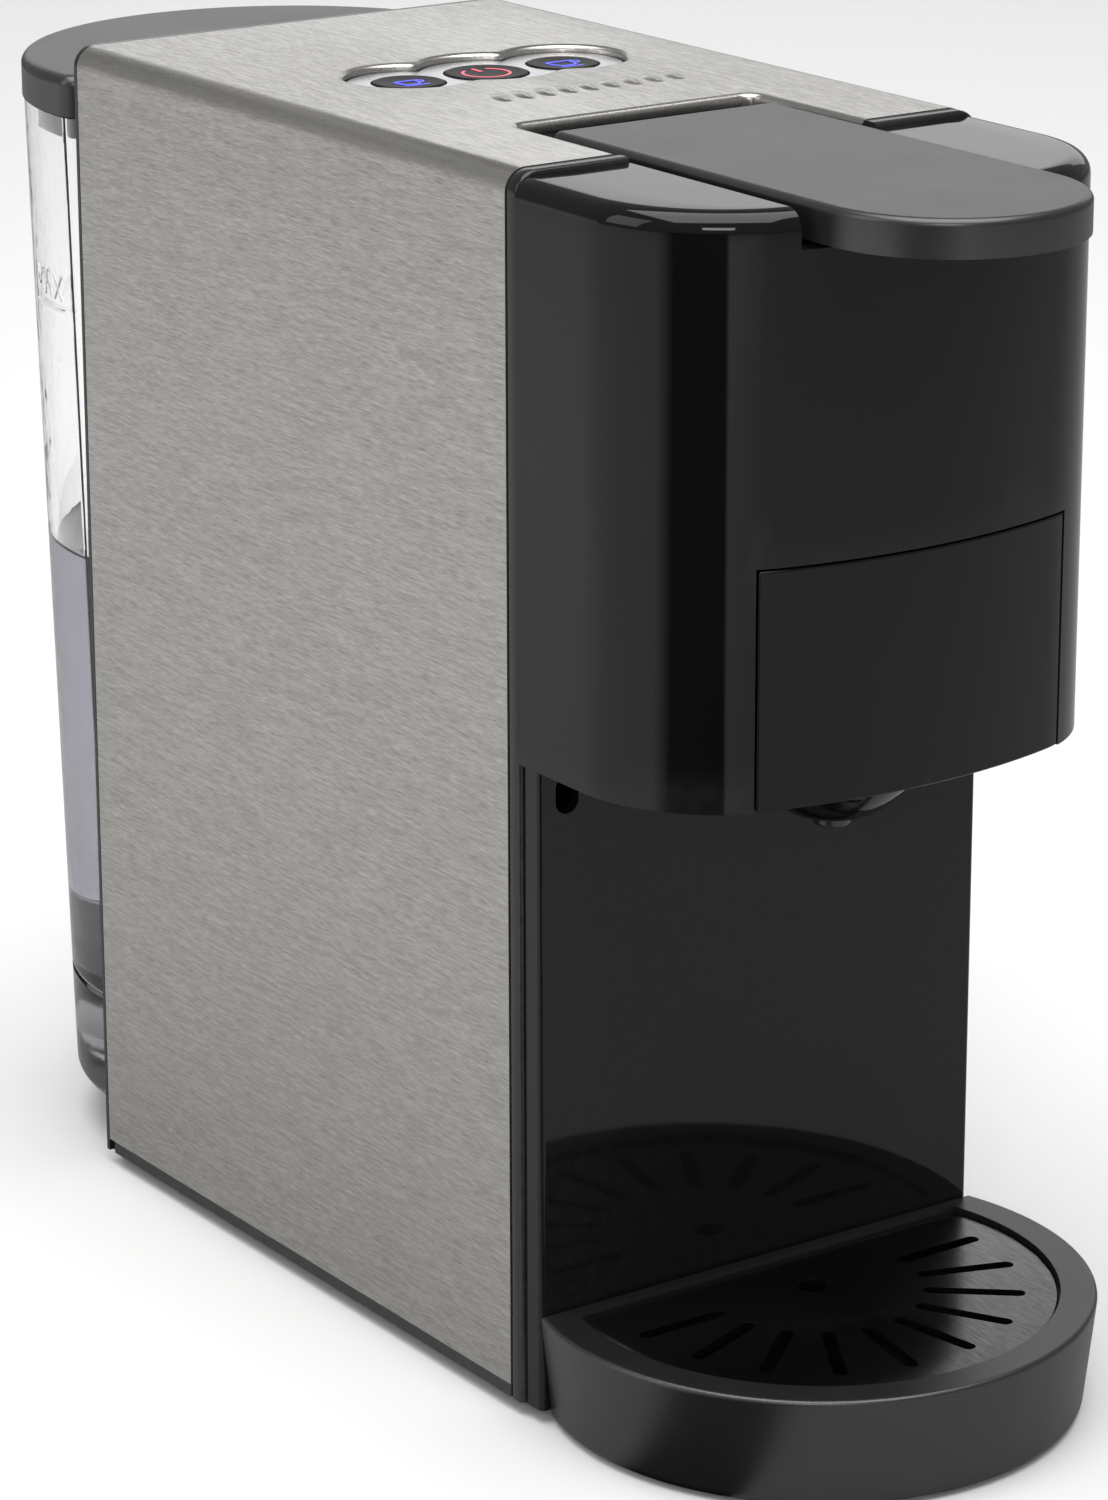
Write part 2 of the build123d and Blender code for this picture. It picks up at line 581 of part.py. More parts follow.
with BuildPart() as flow_meter:
    rod(0, 68, 34.0, 56.0, 13.0)
    with Locations(Location((0, 53, pump_z), (90, 0, 0))):
        Cylinder(4.0, 5.6)
    with Locations(Location((0, 83, 38.5), (90, 0, 0))):
        Cylinder(3.4, 5)
save(flow_meter.part, "flow_meter")

with BuildPart() as relief_valve:
    with Locations(Location((0, -53.2, pump_z), (90, 0, 0))):
        Cylinder(6.5, 8)
    rod(0, -53.2, pump_z, pump_z + 15, 3.6)
save(relief_valve.part, "relief_valve")

with BuildPart() as power_board:
    slab(46.0, 47.6, -20, 60, 80, 150)
    for y, z, h in ((-8, 96, 12), (14, 128, 9), (38, 100, 14), (44, 134, 8)):
        slab(46.2 - h, 46.2, y - 8, y + 8, z - 9, z + 9)
save(power_board.part, "power_board")


def tube(points, radii, r, label):
    """A hose along straight runs joined by tangent arcs."""
    with BuildPart() as hose:
        with BuildLine() as path:
            FilletPolyline(*points, radius=radii)
        start = path.line @ 0
        with BuildSketch(Plane(origin=start, z_dir=path.line % 0)):
            Circle(r)
        sweep()
    save(hose.part, label)


tube([(0, spigot_y - 5.6, 24), (0, 68, 24), (0, 68, 33.9)], [7.0], 3.0, "suction_hose")
tube([(0, -53.2, pump_z + 15.1), (0, -53.2, 120), (0, 16, 130), (0, 16, 188.9)], [14.0, 14.0], 3.0, "feed_hose")
tube([(0, heater_y0 - 8.1, 209), (0, -51, 209), (0, -62, piston_top + 7.5), (0, -76.4, piston_top + 7.5)],
     [14.0, 14.0], 2.4, "brew_hose")

# ---------------------------------------------------------------- tank stand, spigot and cord gland
with BuildPart() as tank_stand:
    with BuildSketch(Plane.XY.offset(stand_low)):
        add(round_back(stand_r, rim_back + 0.1))
    with BuildSketch(Plane.XY.offset(stand_top)):
        add(round_back(tank_low_r, rim_back + 0.1))
    loft()
    fillet(tank_stand.faces().sort_by(Axis.Z)[0].edges().filter_by(lambda e: e.center().Y > 100), 4.0)
    with Locations(Location((0, tank_y, gland_z), (90, 0, 0))):
        Cylinder(8.5, 140, mode=Mode.SUBTRACT)          # channel for the cord under the stand
    rod(0, spigot_y, 15, 32.3, 9.3, Mode.SUBTRACT)      # pocket for the spigot's flange
    rod(0, spigot_y, 20, 40, 6.1, Mode.SUBTRACT)
    slab(-4.8, 4.8, rim_back - 1, spigot_y - 6, 15, 28.8, Mode.SUBTRACT)
save(tank_stand.part, "tank_stand")

with BuildPart() as tank_spigot:         # feeds the machine and pushes the tank's valve open
    rod(0, spigot_y, 19.0, 41.6, 5.6)
    rod(0, spigot_y, 29.0, 32.2, 9.0)
    rod(0, spigot_y, 21.5, 45, 3.6, Mode.SUBTRACT)
    rod(0, spigot_y, 20.0, 44.1, 1.0)
    slab(-4, 4, spigot_y - 0.8, spigot_y + 0.8, 34.0, 37.0)
    with Locations(Location((0, spigot_y - 4, 24.0), (90, 0, 0))):
        Cylinder(1.8, 6, mode=Mode.SUBTRACT)
save(tank_spigot.part, "tank_spigot")

with BuildPart() as spigot_seal:         # ring that seals in the tank's socket
    with BuildSketch(Plane.XY.offset(38.4)):
        with Locations((0, spigot_y)):
            Circle(6.4)
            Circle(5.6, mode=Mode.SUBTRACT)
    extrude(amount=1.8)
save(spigot_seal.part, "spigot_seal")

with BuildPart() as cord_gland:         # bush in the rear panel; the cord runs under the tank's stand
    with BuildSketch(Plane.XZ.offset(-rim_back - 4.0)):
        with Locations((0, gland_z)):
            Circle(5.9)
    extrude(amount=4.0)
    with BuildSketch(Plane.XZ.offset(-rim_back)):
        with Locations((0, gland_z)):
            Circle(5.0)
    extrude(amount=8.0)
    with BuildSketch(Plane.XZ.offset(-rim_back - 5)):
        with Locations((0, gland_z)):
            Circle(cord_r)
    extrude(amount=20.0, mode=Mode.SUBTRACT)
save(cord_gland.part, "cord_gland")

# ---------------------------------------------------------------- water tank, lid and valve
with BuildPart() as water_tank:
    with BuildSketch(Plane.XY.offset(tank_low)):
        add(round_back(tank_low_r, tank_flat))
    with BuildSketch(Plane.XY.offset(tank_top)):
        add(round_back(tank_top_r, tank_flat))
    loft()
    fillet(water_tank.faces().sort_by(Axis.Z)[0].edges(), 1.5)
    with BuildSketch(Plane.XY.offset(tank_floor)):
        add(round_back(tank_low_r - tank_wall, tank_flat + tank_wall, 2.5))
    with BuildSketch(Plane.XY.offset(tank_top + 1)):
        add(round_back(tank_top_r - tank_wall, tank_flat + tank_wall, 2.5))
    loft(mode=Mode.SUBTRACT)
    rod(0, spigot_y, tank_low, 46.5, 9.4)
    rod(0, spigot_y, tank_low - 1, 43.6, 6.5, Mode.SUBTRACT)
    rod(0, spigot_y, 43, 47, 3.4, Mode.SUBTRACT)
save(water_tank.part, "water_tank")

with BuildPart() as tank_valve:          # poppet: a disc on the seat, its stem over the spigot's pin
    rod(0, spigot_y, 46.6, 48.4, 5.2)
    rod(0, spigot_y, 44.5, 46.7, 1.6)
    rod(0, spigot_y, 48.3, 50.0, 1.6)
save(tank_valve.part, "tank_valve")

spring_low, spring_high, spring_r = 48.5, 57.9, 3.2
with BuildPart() as valve_spring:
    with BuildLine() as coil:
        Helix(pitch=2.2, height=spring_high - spring_low - 0.8, radius=spring_r,
              center=(0, spigot_y, spring_low + 0.4))
    with BuildSketch(Plane(origin=coil.line @ 0, z_dir=coil.line % 0)):
        Circle(0.35)
    sweep(is_frenet=True)
save(valve_spring.part, "valve_spring")

with BuildPart() as valve_cage:          # ring on four legs that holds the spring down
    rod(0, spigot_y, 58.0, 60.0, 9.0)
    for dx, dy in ((-1, 0), (1, 0), (0, -1), (0, 1)):
        slab(dx * 7.6 - 1.1, dx * 7.6 + 1.1, spigot_y + dy * 7.6 - 1.1, spigot_y + dy * 7.6 + 1.1, 46.5, 58.5)
    rod(0, spigot_y, 57, 61, 2.2, Mode.SUBTRACT)
save(valve_cage.part, "valve_cage")

with BuildPart() as tank_lid:
    with BuildSketch(Plane.XY.offset(lid_low)):
        add(round_back(lid_r, tank_flat))
    extrude(amount=lid_top - lid_low)
    fillet(tank_lid.faces().sort_by(Axis.Z)[-1].edges(), 2.2)
    with BuildSketch(Plane.XY.offset(lid_low)):
        add(round_back(lid_r - 4.4, tank_flat + 4.4, 2.5))
    extrude(amount=lid_top - lid_low - 2.4, mode=Mode.SUBTRACT)
    with BuildSketch(Plane.XY.offset(231.6)):
        add(round_back(tank_top_r - tank_wall - 0.7, tank_flat + tank_wall + 0.5, 2.3))
        add(round_back(tank_top_r - tank_wall - 2.7, tank_flat + tank_wall + 2.5, 2.0), mode=Mode.SUBTRACT)
    extrude(amount=lid_top - 231.6 - 1.5)
save(tank_lid.part, "tank_lid")

# ---------------------------------------------------------------- drip tray and grid
with BuildPart() as drip_tray:
    with BuildSketch(Plane.XY.offset(tray_low)):
        add(round_front(tray_low_r, tray_back))
    with BuildSketch(Plane.XY.offset(tray_top)):
        add(round_front(tray_top_r, tray_back))
    loft()
    fillet(drip_tray.faces().sort_by(Axis.Z)[-1].edges(), 0.9)
    fillet(drip_tray.faces().sort_by(Axis.Z)[0].edges(), 2.0)
    with BuildSketch(Plane.XY.offset(grid_low)):
        add(round_front(grid_r + 0.4, grid_back + 0.4))
    extrude(amount=10, mode=Mode.SUBTRACT)
    with BuildSketch(Plane.XY.offset(tray_low + 2.6)):
        add(round_front(grid_r - 2.6, grid_back - 2.6))
    extrude(amount=30, mode=Mode.SUBTRACT)
    for side in (-1, 1):                 # two tongues reach through the column's slots
        slab(side * 24 - 5, side * 24 + 5, tray_back - 0.5, -66.0, 8.6, 14.4)
save(drip_tray.part, "drip_tray")

with BuildPart() as drip_grid:
    with BuildSketch(Plane.XY.offset(grid_low)):
        add(round_front(grid_r, grid_back))
        for i in range(10):
            angle = 180 + slot_step * i
            mid = (slot_in + slot_out) / 2
            with Locations((mid * cos(radians(angle)), tray_y + mid * sin(radians(angle)))):
                SlotOverall(slot_out - slot_in, slot_w, rotation=angle, mode=Mode.SUBTRACT)
        with Locations((0, tray_y)):
            Circle(3.0, mode=Mode.SUBTRACT)
    extrude(amount=grid_top - grid_low)
    fillet(drip_grid.faces().sort_by(Axis.Z)[-1].outer_wire().edges(), 0.5)
save(drip_grid.part, "drip_grid")

# ---------------------------------------------------------------- feet and screws
with BuildPart() as foot_pads:
    for x, y in foot_spots:
        rod(x, y, 0, rim_low, 7.0)
        rod(x, y, 0.0, rim_low - 1.4, 7.8)
save(foot_pads.part, "foot_pads")

with BuildPart() as base_screws:
    for x, y in screw_spots:
        rod(x, y, rim_low + 0.2, rim_low + 1.8, 2.9)
        rod(x, y, rim_low + 1.8, 17.0, 1.45)
        slab(x - 2, x + 2, y - 0.35, y + 0.35, rim_low, rim_low + 0.9, Mode.SUBTRACT)
        slab(x - 0.35, x + 0.35, y - 2, y + 2, rim_low, rim_low + 0.9, Mode.SUBTRACT)
save(base_screws.part, "base_screws")
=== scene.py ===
"""Looks of a slim pod coffee machine: steel cover, gloss front, lever, capsule drawer, tray and clear tank.

Laid out as a Blender add-on: settings, one operator for each piece or group of like pieces, one panel.
Lengths in the code are millimetres in the machine's own frame; meshes are written in metres."""
import json
from math import atan2, cos, pi, radians, sin, sqrt

import bmesh
import bpy
import numpy as np
from bpy.props import FloatProperty, FloatVectorProperty, PointerProperty
from mathutils import Matrix, Vector


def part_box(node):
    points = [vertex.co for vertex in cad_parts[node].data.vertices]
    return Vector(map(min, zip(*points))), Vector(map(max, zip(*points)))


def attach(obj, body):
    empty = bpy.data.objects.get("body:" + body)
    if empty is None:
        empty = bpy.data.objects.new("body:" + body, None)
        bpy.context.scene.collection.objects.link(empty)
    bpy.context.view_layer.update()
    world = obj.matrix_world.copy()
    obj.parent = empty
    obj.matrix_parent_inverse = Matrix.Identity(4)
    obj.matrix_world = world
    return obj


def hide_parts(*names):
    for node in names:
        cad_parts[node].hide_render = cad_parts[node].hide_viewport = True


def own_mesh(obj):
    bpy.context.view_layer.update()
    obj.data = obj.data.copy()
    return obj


bl_info = {
    "name": "Pod Coffee Machine",
    "version": (1, 0, 0),
    "blender": (4, 5, 0),
    "location": "View3D > Sidebar > Coffee Machine",
    "description": "Builds the visible pieces and finishes of a slim pod coffee machine",
    "category": "Add Mesh",
}

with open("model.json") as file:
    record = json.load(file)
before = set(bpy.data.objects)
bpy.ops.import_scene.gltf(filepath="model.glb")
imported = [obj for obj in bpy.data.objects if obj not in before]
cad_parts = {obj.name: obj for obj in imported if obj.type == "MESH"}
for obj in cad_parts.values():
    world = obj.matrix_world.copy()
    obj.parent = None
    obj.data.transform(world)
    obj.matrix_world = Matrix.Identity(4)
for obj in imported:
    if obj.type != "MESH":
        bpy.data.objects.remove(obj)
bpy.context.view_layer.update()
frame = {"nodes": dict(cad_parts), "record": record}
NODES = frame["nodes"]
MM = 0.001


def cad(node):
    """A node's lowest and highest corners in millimetres."""
    low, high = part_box(node)
    return np.array(low) / MM, np.array(high) / MM


COVER_LOW, COVER_HIGH = cad("steel_cover")
HOUSE_LOW, HOUSE_HIGH = cad("front_housing")
DOOR_LOW, DOOR_HIGH = cad("adapter_front")
BUTTON_NODES = ("button_small_cup", "button_power", "button_large_cup")


# ------------------------------------------------------------------ settings

def length(name, text, default, low=0.0, high=0.5):
    return FloatProperty(name=name, description=text, default=default, min=low, max=high,
                         subtype="DISTANCE", unit="LENGTH", precision=5)


def share(name, text, default):
    return FloatProperty(name=name, description=text, default=default, min=0.0, max=1.0, subtype="FACTOR")


def paint(name, text, default):
    return FloatVectorProperty(name=name, description=text, default=default, size=3, min=0.0, max=1.0,
                               subtype="COLOR")


class CoverSettings(bpy.types.PropertyGroup):
    sheet: length("Sheet", "Thickness of the steel sheet", 0.0008)
    bend: length("Bend radius", "Outer radius of the two long bends", 0.0046)
    lip_width: length("Lip width", "Width of the pressed lip round the buttons", 0.0018)
    lip_depth: length("Lip depth", "How far the pressed lip drops", 0.0013)
    colour: paint("Steel colour", "Colour of the brushed steel", (0.54, 0.525, 0.50))
    roughness: share("Steel roughness", "Mean roughness of the brushed steel", 0.34)


class HousingSettings(bpy.types.PropertyGroup):
    wall: length("Wall", "Thickness of the moulded wall", 0.0025)
    shoulder: length("Shoulder radius", "Rounding of the top edge", 0.004)
    edge: length("Edge", "Small rounding of the other edges", 0.0005)
    dome_drop: length("Dome drop", "How much deeper the dome hangs than its stand-in", 0.0010)
    nozzle_short: length("Nozzle shortening", "How much shorter the nozzle is than its stand-in", 0.0014)
    colour: paint("Gloss colour", "Colour of the gloss black plastic", (0.0045, 0.0045, 0.005))
    roughness: share("Gloss roughness", "Roughness of the gloss black plastic", 0.05)


class ButtonSettings(bpy.types.PropertyGroup):
    dish: length("Dish", "How far a button's middle sinks", 0.00035)
    cup_light: paint("Cup light", "Colour of the lit cup symbols", (0.10, 0.12, 1.0))
    power_light: paint("Power light", "Colour of the lit power symbol", (1.0, 0.10, 0.16))
    glow: FloatProperty(name="Glow", description="Strength of the lit symbols", default=1.3, min=0.0)


class TankSettings(bpy.types.PropertyGroup):
    water_level: length("Water level", "Height of the water above the table", 0.1385)
    # Painted shade: the water's grey-violet tint darkens everything seen through it.
    water_shade_tint: paint("Water tint", "Colour that the water takes on", (0.36, 0.355, 0.41))
    mark_height: length("Mark height", "Height of the full mark above the table", 0.1935)
    valve_travel: length("Valve travel", "How far the foot valve rises off its seat", 0.0022)


class GridSettings(bpy.types.PropertyGroup):
    edge: length("Edge", "Rounding of the pressed slots", 0.0003)


class StageSettings(bpy.types.PropertyGroup):
    floor_colour: paint("Floor", "Colour of the floor", (0.92, 0.92, 0.92))
    lens: FloatProperty(name="Lens", description="Focal length in millimetres", default=122.665)
    sky: FloatProperty(name="Sky", description="Strength of the even room light", default=0.24, min=0.0)


# ------------------------------------------------------------------ mesh helpers

def grid_faces(rows, columns, closed=False):
    """Quads of a grid whose point (i, j) has index i * columns + j; closed joins last column to first."""
    reach = columns if closed else columns - 1
    i, j = np.meshgrid(np.arange(rows - 1) * columns, np.arange(reach), indexing="ij")
    k = (j + 1) % columns
    return np.stack([i + j, i + k, i + columns + k, i + columns + j], axis=-1).reshape(-1, 4).tolist()


class Shape:
    """Points and faces gathered from several surfaces, in millimetres."""

    def __init__(self):
        self.points, self.faces, self.count = [], [], 0

    def add(self, points, faces):
        points = np.asarray(points, float).reshape(-1, 3)
        self.points.append(points)
        self.faces += [[v + self.count for v in f] for f in faces]
        self.count += len(points)
        return self

    def surface(self, points, closed=False, keep=None):
        """A grid of points, rows by columns; keep is a mask of the quads that stay."""
        points = np.asarray(points, float)
        rows, columns = points.shape[:2]
        faces = grid_faces(rows, columns, closed)
        if keep is not None:
            faces = [f for f, k in zip(faces, np.asarray(keep).ravel()) if k]
        return self.add(points, faces)

    def polygon(self, points):
        """One flat face round a loop of points."""
        return self.add(points, [list(range(len(points)))])


def placed(name, data):
    """A new object in the scene that holds some data."""
    obj = bpy.data.objects.new(name, data)
    bpy.context.scene.collection.objects.link(obj)
    return obj


def rounded(me, angle=32.0):
    """Smooth shading, with edges sharper than the angle kept crisp."""
    me.polygons.foreach_set("use_smooth", np.ones(len(me.polygons), bool))
    me.set_sharp_from_angle(angle=radians(angle))


def piece(name, shape, body, material, stands_for=(), facing=None, angle=32.0):
    """Write a shape into a new mesh, merge its seams, face it outwards, and seat it on its body.

    facing is a direction in which the outermost face has to look; without it the shell is closed."""
    me = bpy.data.meshes.new(name)
    me.from_pydata((np.concatenate(shape.points) * MM).tolist(), [], shape.faces)
    bm = bmesh.new()
    bm.from_mesh(me)
    bmesh.ops.remove_doubles(bm, verts=bm.verts, dist=2e-6)
    bmesh.ops.dissolve_degenerate(bm, edges=bm.edges, dist=1e-7)
    bmesh.ops.recalc_face_normals(bm, faces=bm.faces)
    if facing is not None:
        look = Vector(facing)
        far = max(bm.faces, key=lambda f: f.calc_center_median().dot(look) + 1e-3 * abs(f.normal.dot(look)))
        if far.normal.dot(look) < 0:
            bmesh.ops.reverse_faces(bm, faces=bm.faces)
    bm.to_mesh(me)
    bm.free()
    rounded(me, angle)
    me.materials.append(material)
    return seat(placed(name, me), body, stands_for)


def seat(obj, body, stands_for=()):
    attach(obj, body)
    if stands_for:
        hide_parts(*stands_for)
    return obj


def thicken(obj, wall):
    mod = obj.modifiers.new("Wall", "SOLIDIFY")
    mod.thickness, mod.offset, mod.use_even_offset, mod.use_quality_normals = wall, -1.0, True, True
    return obj


def soften(obj, width, steps=3, angle=38.0):
    mod = obj.modifiers.new("Edges", "BEVEL")
    mod.width, mod.segments, mod.limit_method, mod.angle_limit = width, steps, "ANGLE", radians(angle)
    mod.harden_normals = True
    mod.use_clamp_overlap = True
    return obj


def arc(cx, cy, r, start, end, count):
    """Points of an arc in plan, angles in radians."""
    a = np.linspace(start, end, count)
    return np.stack([cx + r * np.cos(a), cy + r * np.sin(a)], axis=-1)


def lift(plan, z):
    """Plan points at a height."""
    plan = np.asarray(plan, float)
    return np.concatenate([plan, np.full((len(plan), 1), float(z))], axis=1)


def join(*parts):
    """Runs of plan points end to end, without the repeated joints."""
    out = [parts[0]]
    for p in parts[1:]:
        out.append(p[1:] if np.allclose(out[-1][-1], p[0], atol=1e-6) else p)
    return np.concatenate(out)


# ------------------------------------------------------------------ shader helpers

def wire(tree, kind, links=None, **settings):
    """A node with its settings; links maps an input's name or number to a value or an output socket."""
    node = tree.nodes.new(kind)
    for key, value in settings.items():
        setattr(node, key, value)
    for key, value in (links or {}).items():
        if isinstance(value, bpy.types.NodeSocket):
            tree.links.new(value, node.inputs[key])
        else:
            node.inputs[key].default_value = value
    return node


def calc(tree, operation, a, b, clamp=False):
    """Arithmetic on two values or sockets."""
    return wire(tree, "ShaderNodeMath", {0: a, 1: b}, operation=operation, use_clamp=clamp).outputs[0]


def remap(tree, value, start, end, low=0.0, high=1.0):
    """One range of values moved to another, held at both ends."""
    return wire(tree, "ShaderNodeMapRange", {0: value, 1: start, 2: end, 3: low, 4: high}).outputs[0]


def blend(tree, mask, low, high):
    """A colour between two, by a mask."""
    return wire(tree, "ShaderNodeMix", {0: mask, 6: low, 7: high}, data_type="RGBA").outputs[2]


def rgba(colour, factor=1.0):
    return tuple(min(1.0, c * factor) for c in colour[:3]) + (1.0,)


def object_point(tree, scale=(1, 1, 1)):
    """Object coordinates, stretched by a scale."""
    place = tree.nodes.new("ShaderNodeTexCoord").outputs["Object"]
    return wire(tree, "ShaderNodeMapping", {"Vector": place, "Scale": scale}).outputs[0]


def noise(tree, scale, stretch=(1, 1, 1), detail=2.0, roughness=0.5):
    """Noise on object coordinates."""
    return wire(tree, "ShaderNodeTexNoise", {"Vector": object_point(tree, stretch), "Scale": scale,
                                             "Detail": detail, "Roughness": roughness}).outputs[0]


def upward(tree):
    """How far the surface looks up, from -1 to 1."""
    normal = tree.nodes.new("ShaderNodeNewGeometry").outputs["Normal"]
    return wire(tree, "ShaderNodeSeparateXYZ", {0: normal}).outputs[2]


def group(name, inputs, outputs):
    """An empty node group with named inputs (name, default) and value outputs."""
    tree = bpy.data.node_groups.new(name, "ShaderNodeTree")
    for label, default in inputs:
        socket = tree.interface.new_socket(name=label, in_out="INPUT", socket_type="NodeSocketFloat")
        socket.default_value = default
    for label in outputs:
        tree.interface.new_socket(name=label, in_out="OUTPUT", socket_type="NodeSocketFloat")
    return tree, tree.nodes.new("NodeGroupInput").outputs, tree.nodes.new("NodeGroupOutput").inputs


def brushed_group():
    """Long fine streaks along Y: noise squeezed across the grain and drawn out along it, in two sizes."""
    tree, given, out = group("Brushed Streaks", [("Fine", 1.0), ("Coarse", 1.0)], ["Shade", "Height"])
    fine = noise(tree, 1.0, (4200, 300, 4200), 2.0, 0.6)
    coarse = noise(tree, 1.0, (1700, 120, 1700), 3.0, 0.62)
    cloud = noise(tree, 1.0, (16, 9, 16))
    both = calc(tree, "ADD", calc(tree, "MULTIPLY", fine, given["Fine"]),
                calc(tree, "MULTIPLY", coarse, given["Coarse"]))
    mean = calc(tree, "DIVIDE", both, calc(tree, "ADD", given["Fine"], given["Coarse"]))
    shade = calc(tree, "MULTIPLY", remap(tree, mean, 0.36, 0.64), remap(tree, cloud, 0, 1, 0.95, 1.05))
    tree.links.new(shade, out["Shade"])
    tree.links.new(mean, out["Height"])
    return tree


def grain_group():
    """Moulded grain: small rounded bumps, from smooth cells broken up by noise."""
    tree, given, out = group("Moulded Grain", [("Size", 2600.0)], ["Shade", "Height"])
    cells = wire(tree, "ShaderNodeTexVoronoi", {"Vector": object_point(tree), "Scale": given["Size"]},
                 feature="SMOOTH_F1").outputs[0]
    spots = noise(tree, given["Size"])
    tree.links.new(spots, out["Shade"])
    tree.links.new(remap(tree, calc(tree, "ADD", cells, spots), 0, 1, 0.0, 0.6), out["Height"])
    return tree


def film_group():
    """A thin film of dust and wiping marks: soft clouds, with specks on faces that look up."""
    tree, given, out = group("Dust Film", [("Size", 60.0), ("Upward", 0.5)], ["Film"])
    clouds = remap(tree, noise(tree, given["Size"], detail=4.0, roughness=0.65), 0.35, 0.75, 0.0, 0.5)
    specks = remap(tree, noise(tree, 3400.0, detail=1.0), 0.66, 0.76)
    lying = calc(tree, "MULTIPLY", upward(tree), given["Upward"], clamp=True)
    film = calc(tree, "ADD", clouds, calc(tree, "MULTIPLY", lying, specks), clamp=True)
    tree.links.new(film, out["Film"])
    return tree


def wear_group():
    """Rubbed edges: where the surface is sharply convex, broken up by noise."""
    tree, given, out = group("Rubbed Edges", [("Amount", 0.5)], ["Edge"])
    convex = remap(tree, tree.nodes.new("ShaderNodeNewGeometry").outputs["Pointiness"], 0.53, 0.62)
    broken = calc(tree, "MULTIPLY", convex, noise(tree, 420.0, detail=3.0))
    tree.links.new(calc(tree, "MULTIPLY", broken, given["Amount"], clamp=True), out["Edge"])
    return tree


GROUP_MAKERS = {"brushed": brushed_group, "grain": grain_group, "film": film_group, "wear": wear_group}
GROUPS = {}


def effect(tree, name, **values):
    """Place a shared effect in a material with its own values; returns its outputs."""
    if name not in GROUPS:
        GROUPS[name] = GROUP_MAKERS[name]()
    node = tree.nodes.new("ShaderNodeGroup")
    node.node_tree = GROUPS[name]
    for key, value in values.items():
        node.inputs[key].default_value = value
    return node.outputs


def blank(name, **constants):
    """A material with only its Principled shader and constant sockets; returns material, tree, shader."""
    mat = bpy.data.materials.new(name)
    mat.use_nodes = True
    shader = mat.node_tree.nodes["Principled BSDF"]
    for key, value in constants.items():
        shader.inputs[key.replace("_", " ")].default_value = value
    return mat, mat.node_tree, shader


def feed(tree, shader, **sockets):
    """Link outputs to a shader's inputs by name."""
    for key, output in sockets.items():
        tree.links.new(output, shader.inputs[key.replace("_", " ")])


def bump(tree, shader, height, strength, distance):
    node = wire(tree, "ShaderNodeBump", {"Height": height, "Strength": strength, "Distance": distance})
    feed(tree, shader, Normal=node.outputs[0])


DUST = (0.30, 0.29, 0.27, 1)
DARK_DUST = (0.23, 0.22, 0.21, 1)


def brushed_steel(name, colour, rough, streak=0.24):
    """Brushed sheet: streaks tint the colour, break up the roughness and catch the light as fine ridges.

    Faces that look up are smoother, with a third of the relief."""
    mat, tree, shader = blank(name, Metallic=1.0, Anisotropic=0.55, Anisotropic_Rotation=0.0)
    lines = effect(tree, "brushed", Fine=1.0, Coarse=0.8)
    film = effect(tree, "film", Size=22.0, Upward=0.25)["Film"]
    base = blend(tree, lines["Shade"], rgba(colour, 1 - streak), rgba(colour, 1 + streak))
    upright = remap(tree, upward(tree), 0.2, 0.9, 1.0, 0.3)
    broken = remap(tree, lines["Shade"], 0, 1, rough + 0.07, rough - 0.05)
    feed(tree, shader, Base_Color=blend(tree, remap(tree, film, 0, 1, 0.0, 0.04), base, DUST),
         Roughness=calc(tree, "MULTIPLY", broken, remap(tree, upright, 0, 1, 0.56, 1.0)))
    bump(tree, shader, calc(tree, "MULTIPLY", lines["Height"], upright), 0.5, 0.00016)
    return mat


def moulded(name, colour, rough, grain, relief, swing, dust, metallic, specular, edge, ripple=0.0):
    """Moulded or cast finish: colour and roughness drift with the film, edges rub lighter."""
    mat, tree, shader = blank(name, Metallic=metallic, Specular_IOR_Level=specular)
    bumps = effect(tree, "grain", Size=grain)
    film = effect(tree, "film", Size=45.0, Upward=0.6)["Film"]
    wear = effect(tree, "wear", Amount=0.5)["Edge"]
    base = blend(tree, bumps["Shade"], rgba(colour, 1 - swing), rgba(colour, 1 + swing))
    dusty = blend(tree, remap(tree, film, 0, 1, 0.0, dust), base, DARK_DUST)
    feed(tree, shader, Base_Color=blend(tree, wear, dusty, rgba(edge)),
         Roughness=remap(tree, film, 0, 1, rough * 0.95, min(1.0, rough * 1.12 + 0.01)))
    if ripple:
        waves = noise(tree, 34.0, (1, 1, 0.35), 1.5)
        fine = remap(tree, bumps["Height"], 0, 1, 0.0, relief)
        bump(tree, shader, calc(tree, "ADD", waves, fine), 1.0, ripple)
    else:
        bump(tree, shader, bumps["Height"], relief, 0.0001)
    return mat


def clear_plastic(name, tint, rough, ior):
    """Clear moulding: plain transmission, faint wiping marks in the roughness, flow lines in the relief."""
    mat, tree, shader = blank(name, Transmission_Weight=1.0, IOR=ior, Metallic=0.0)
    film = effect(tree, "film", Size=70.0, Upward=0.2)["Film"]
    feed(tree, shader, Base_Color=blend(tree, film, rgba(tint), rgba(tint, 0.985)),
         Roughness=remap(tree, film, 0, 1, rough, rough + 0.03))
    bump(tree, shader, noise(tree, 60.0, (1, 1, 0.25), 1.0), 0.04, 0.00002)
    return mat


def still_water(name, tint):
    """Water with a faint drift of colour and a slight ripple."""
    mat, tree, shader = blank(name, Transmission_Weight=1.0, IOR=1.33, Metallic=0.0, Roughness=0.0)
    film = effect(tree, "film", Size=20.0, Upward=0.0)["Film"]
    # The tint is painted shade: its grey-violet darkens everything seen through the water.
    feed(tree, shader, Base_Color=blend(tree, film, rgba(tint), rgba(tint, 0.97)))
    bump(tree, shader, noise(tree, 45.0), 0.1, 0.00005)
    return mat


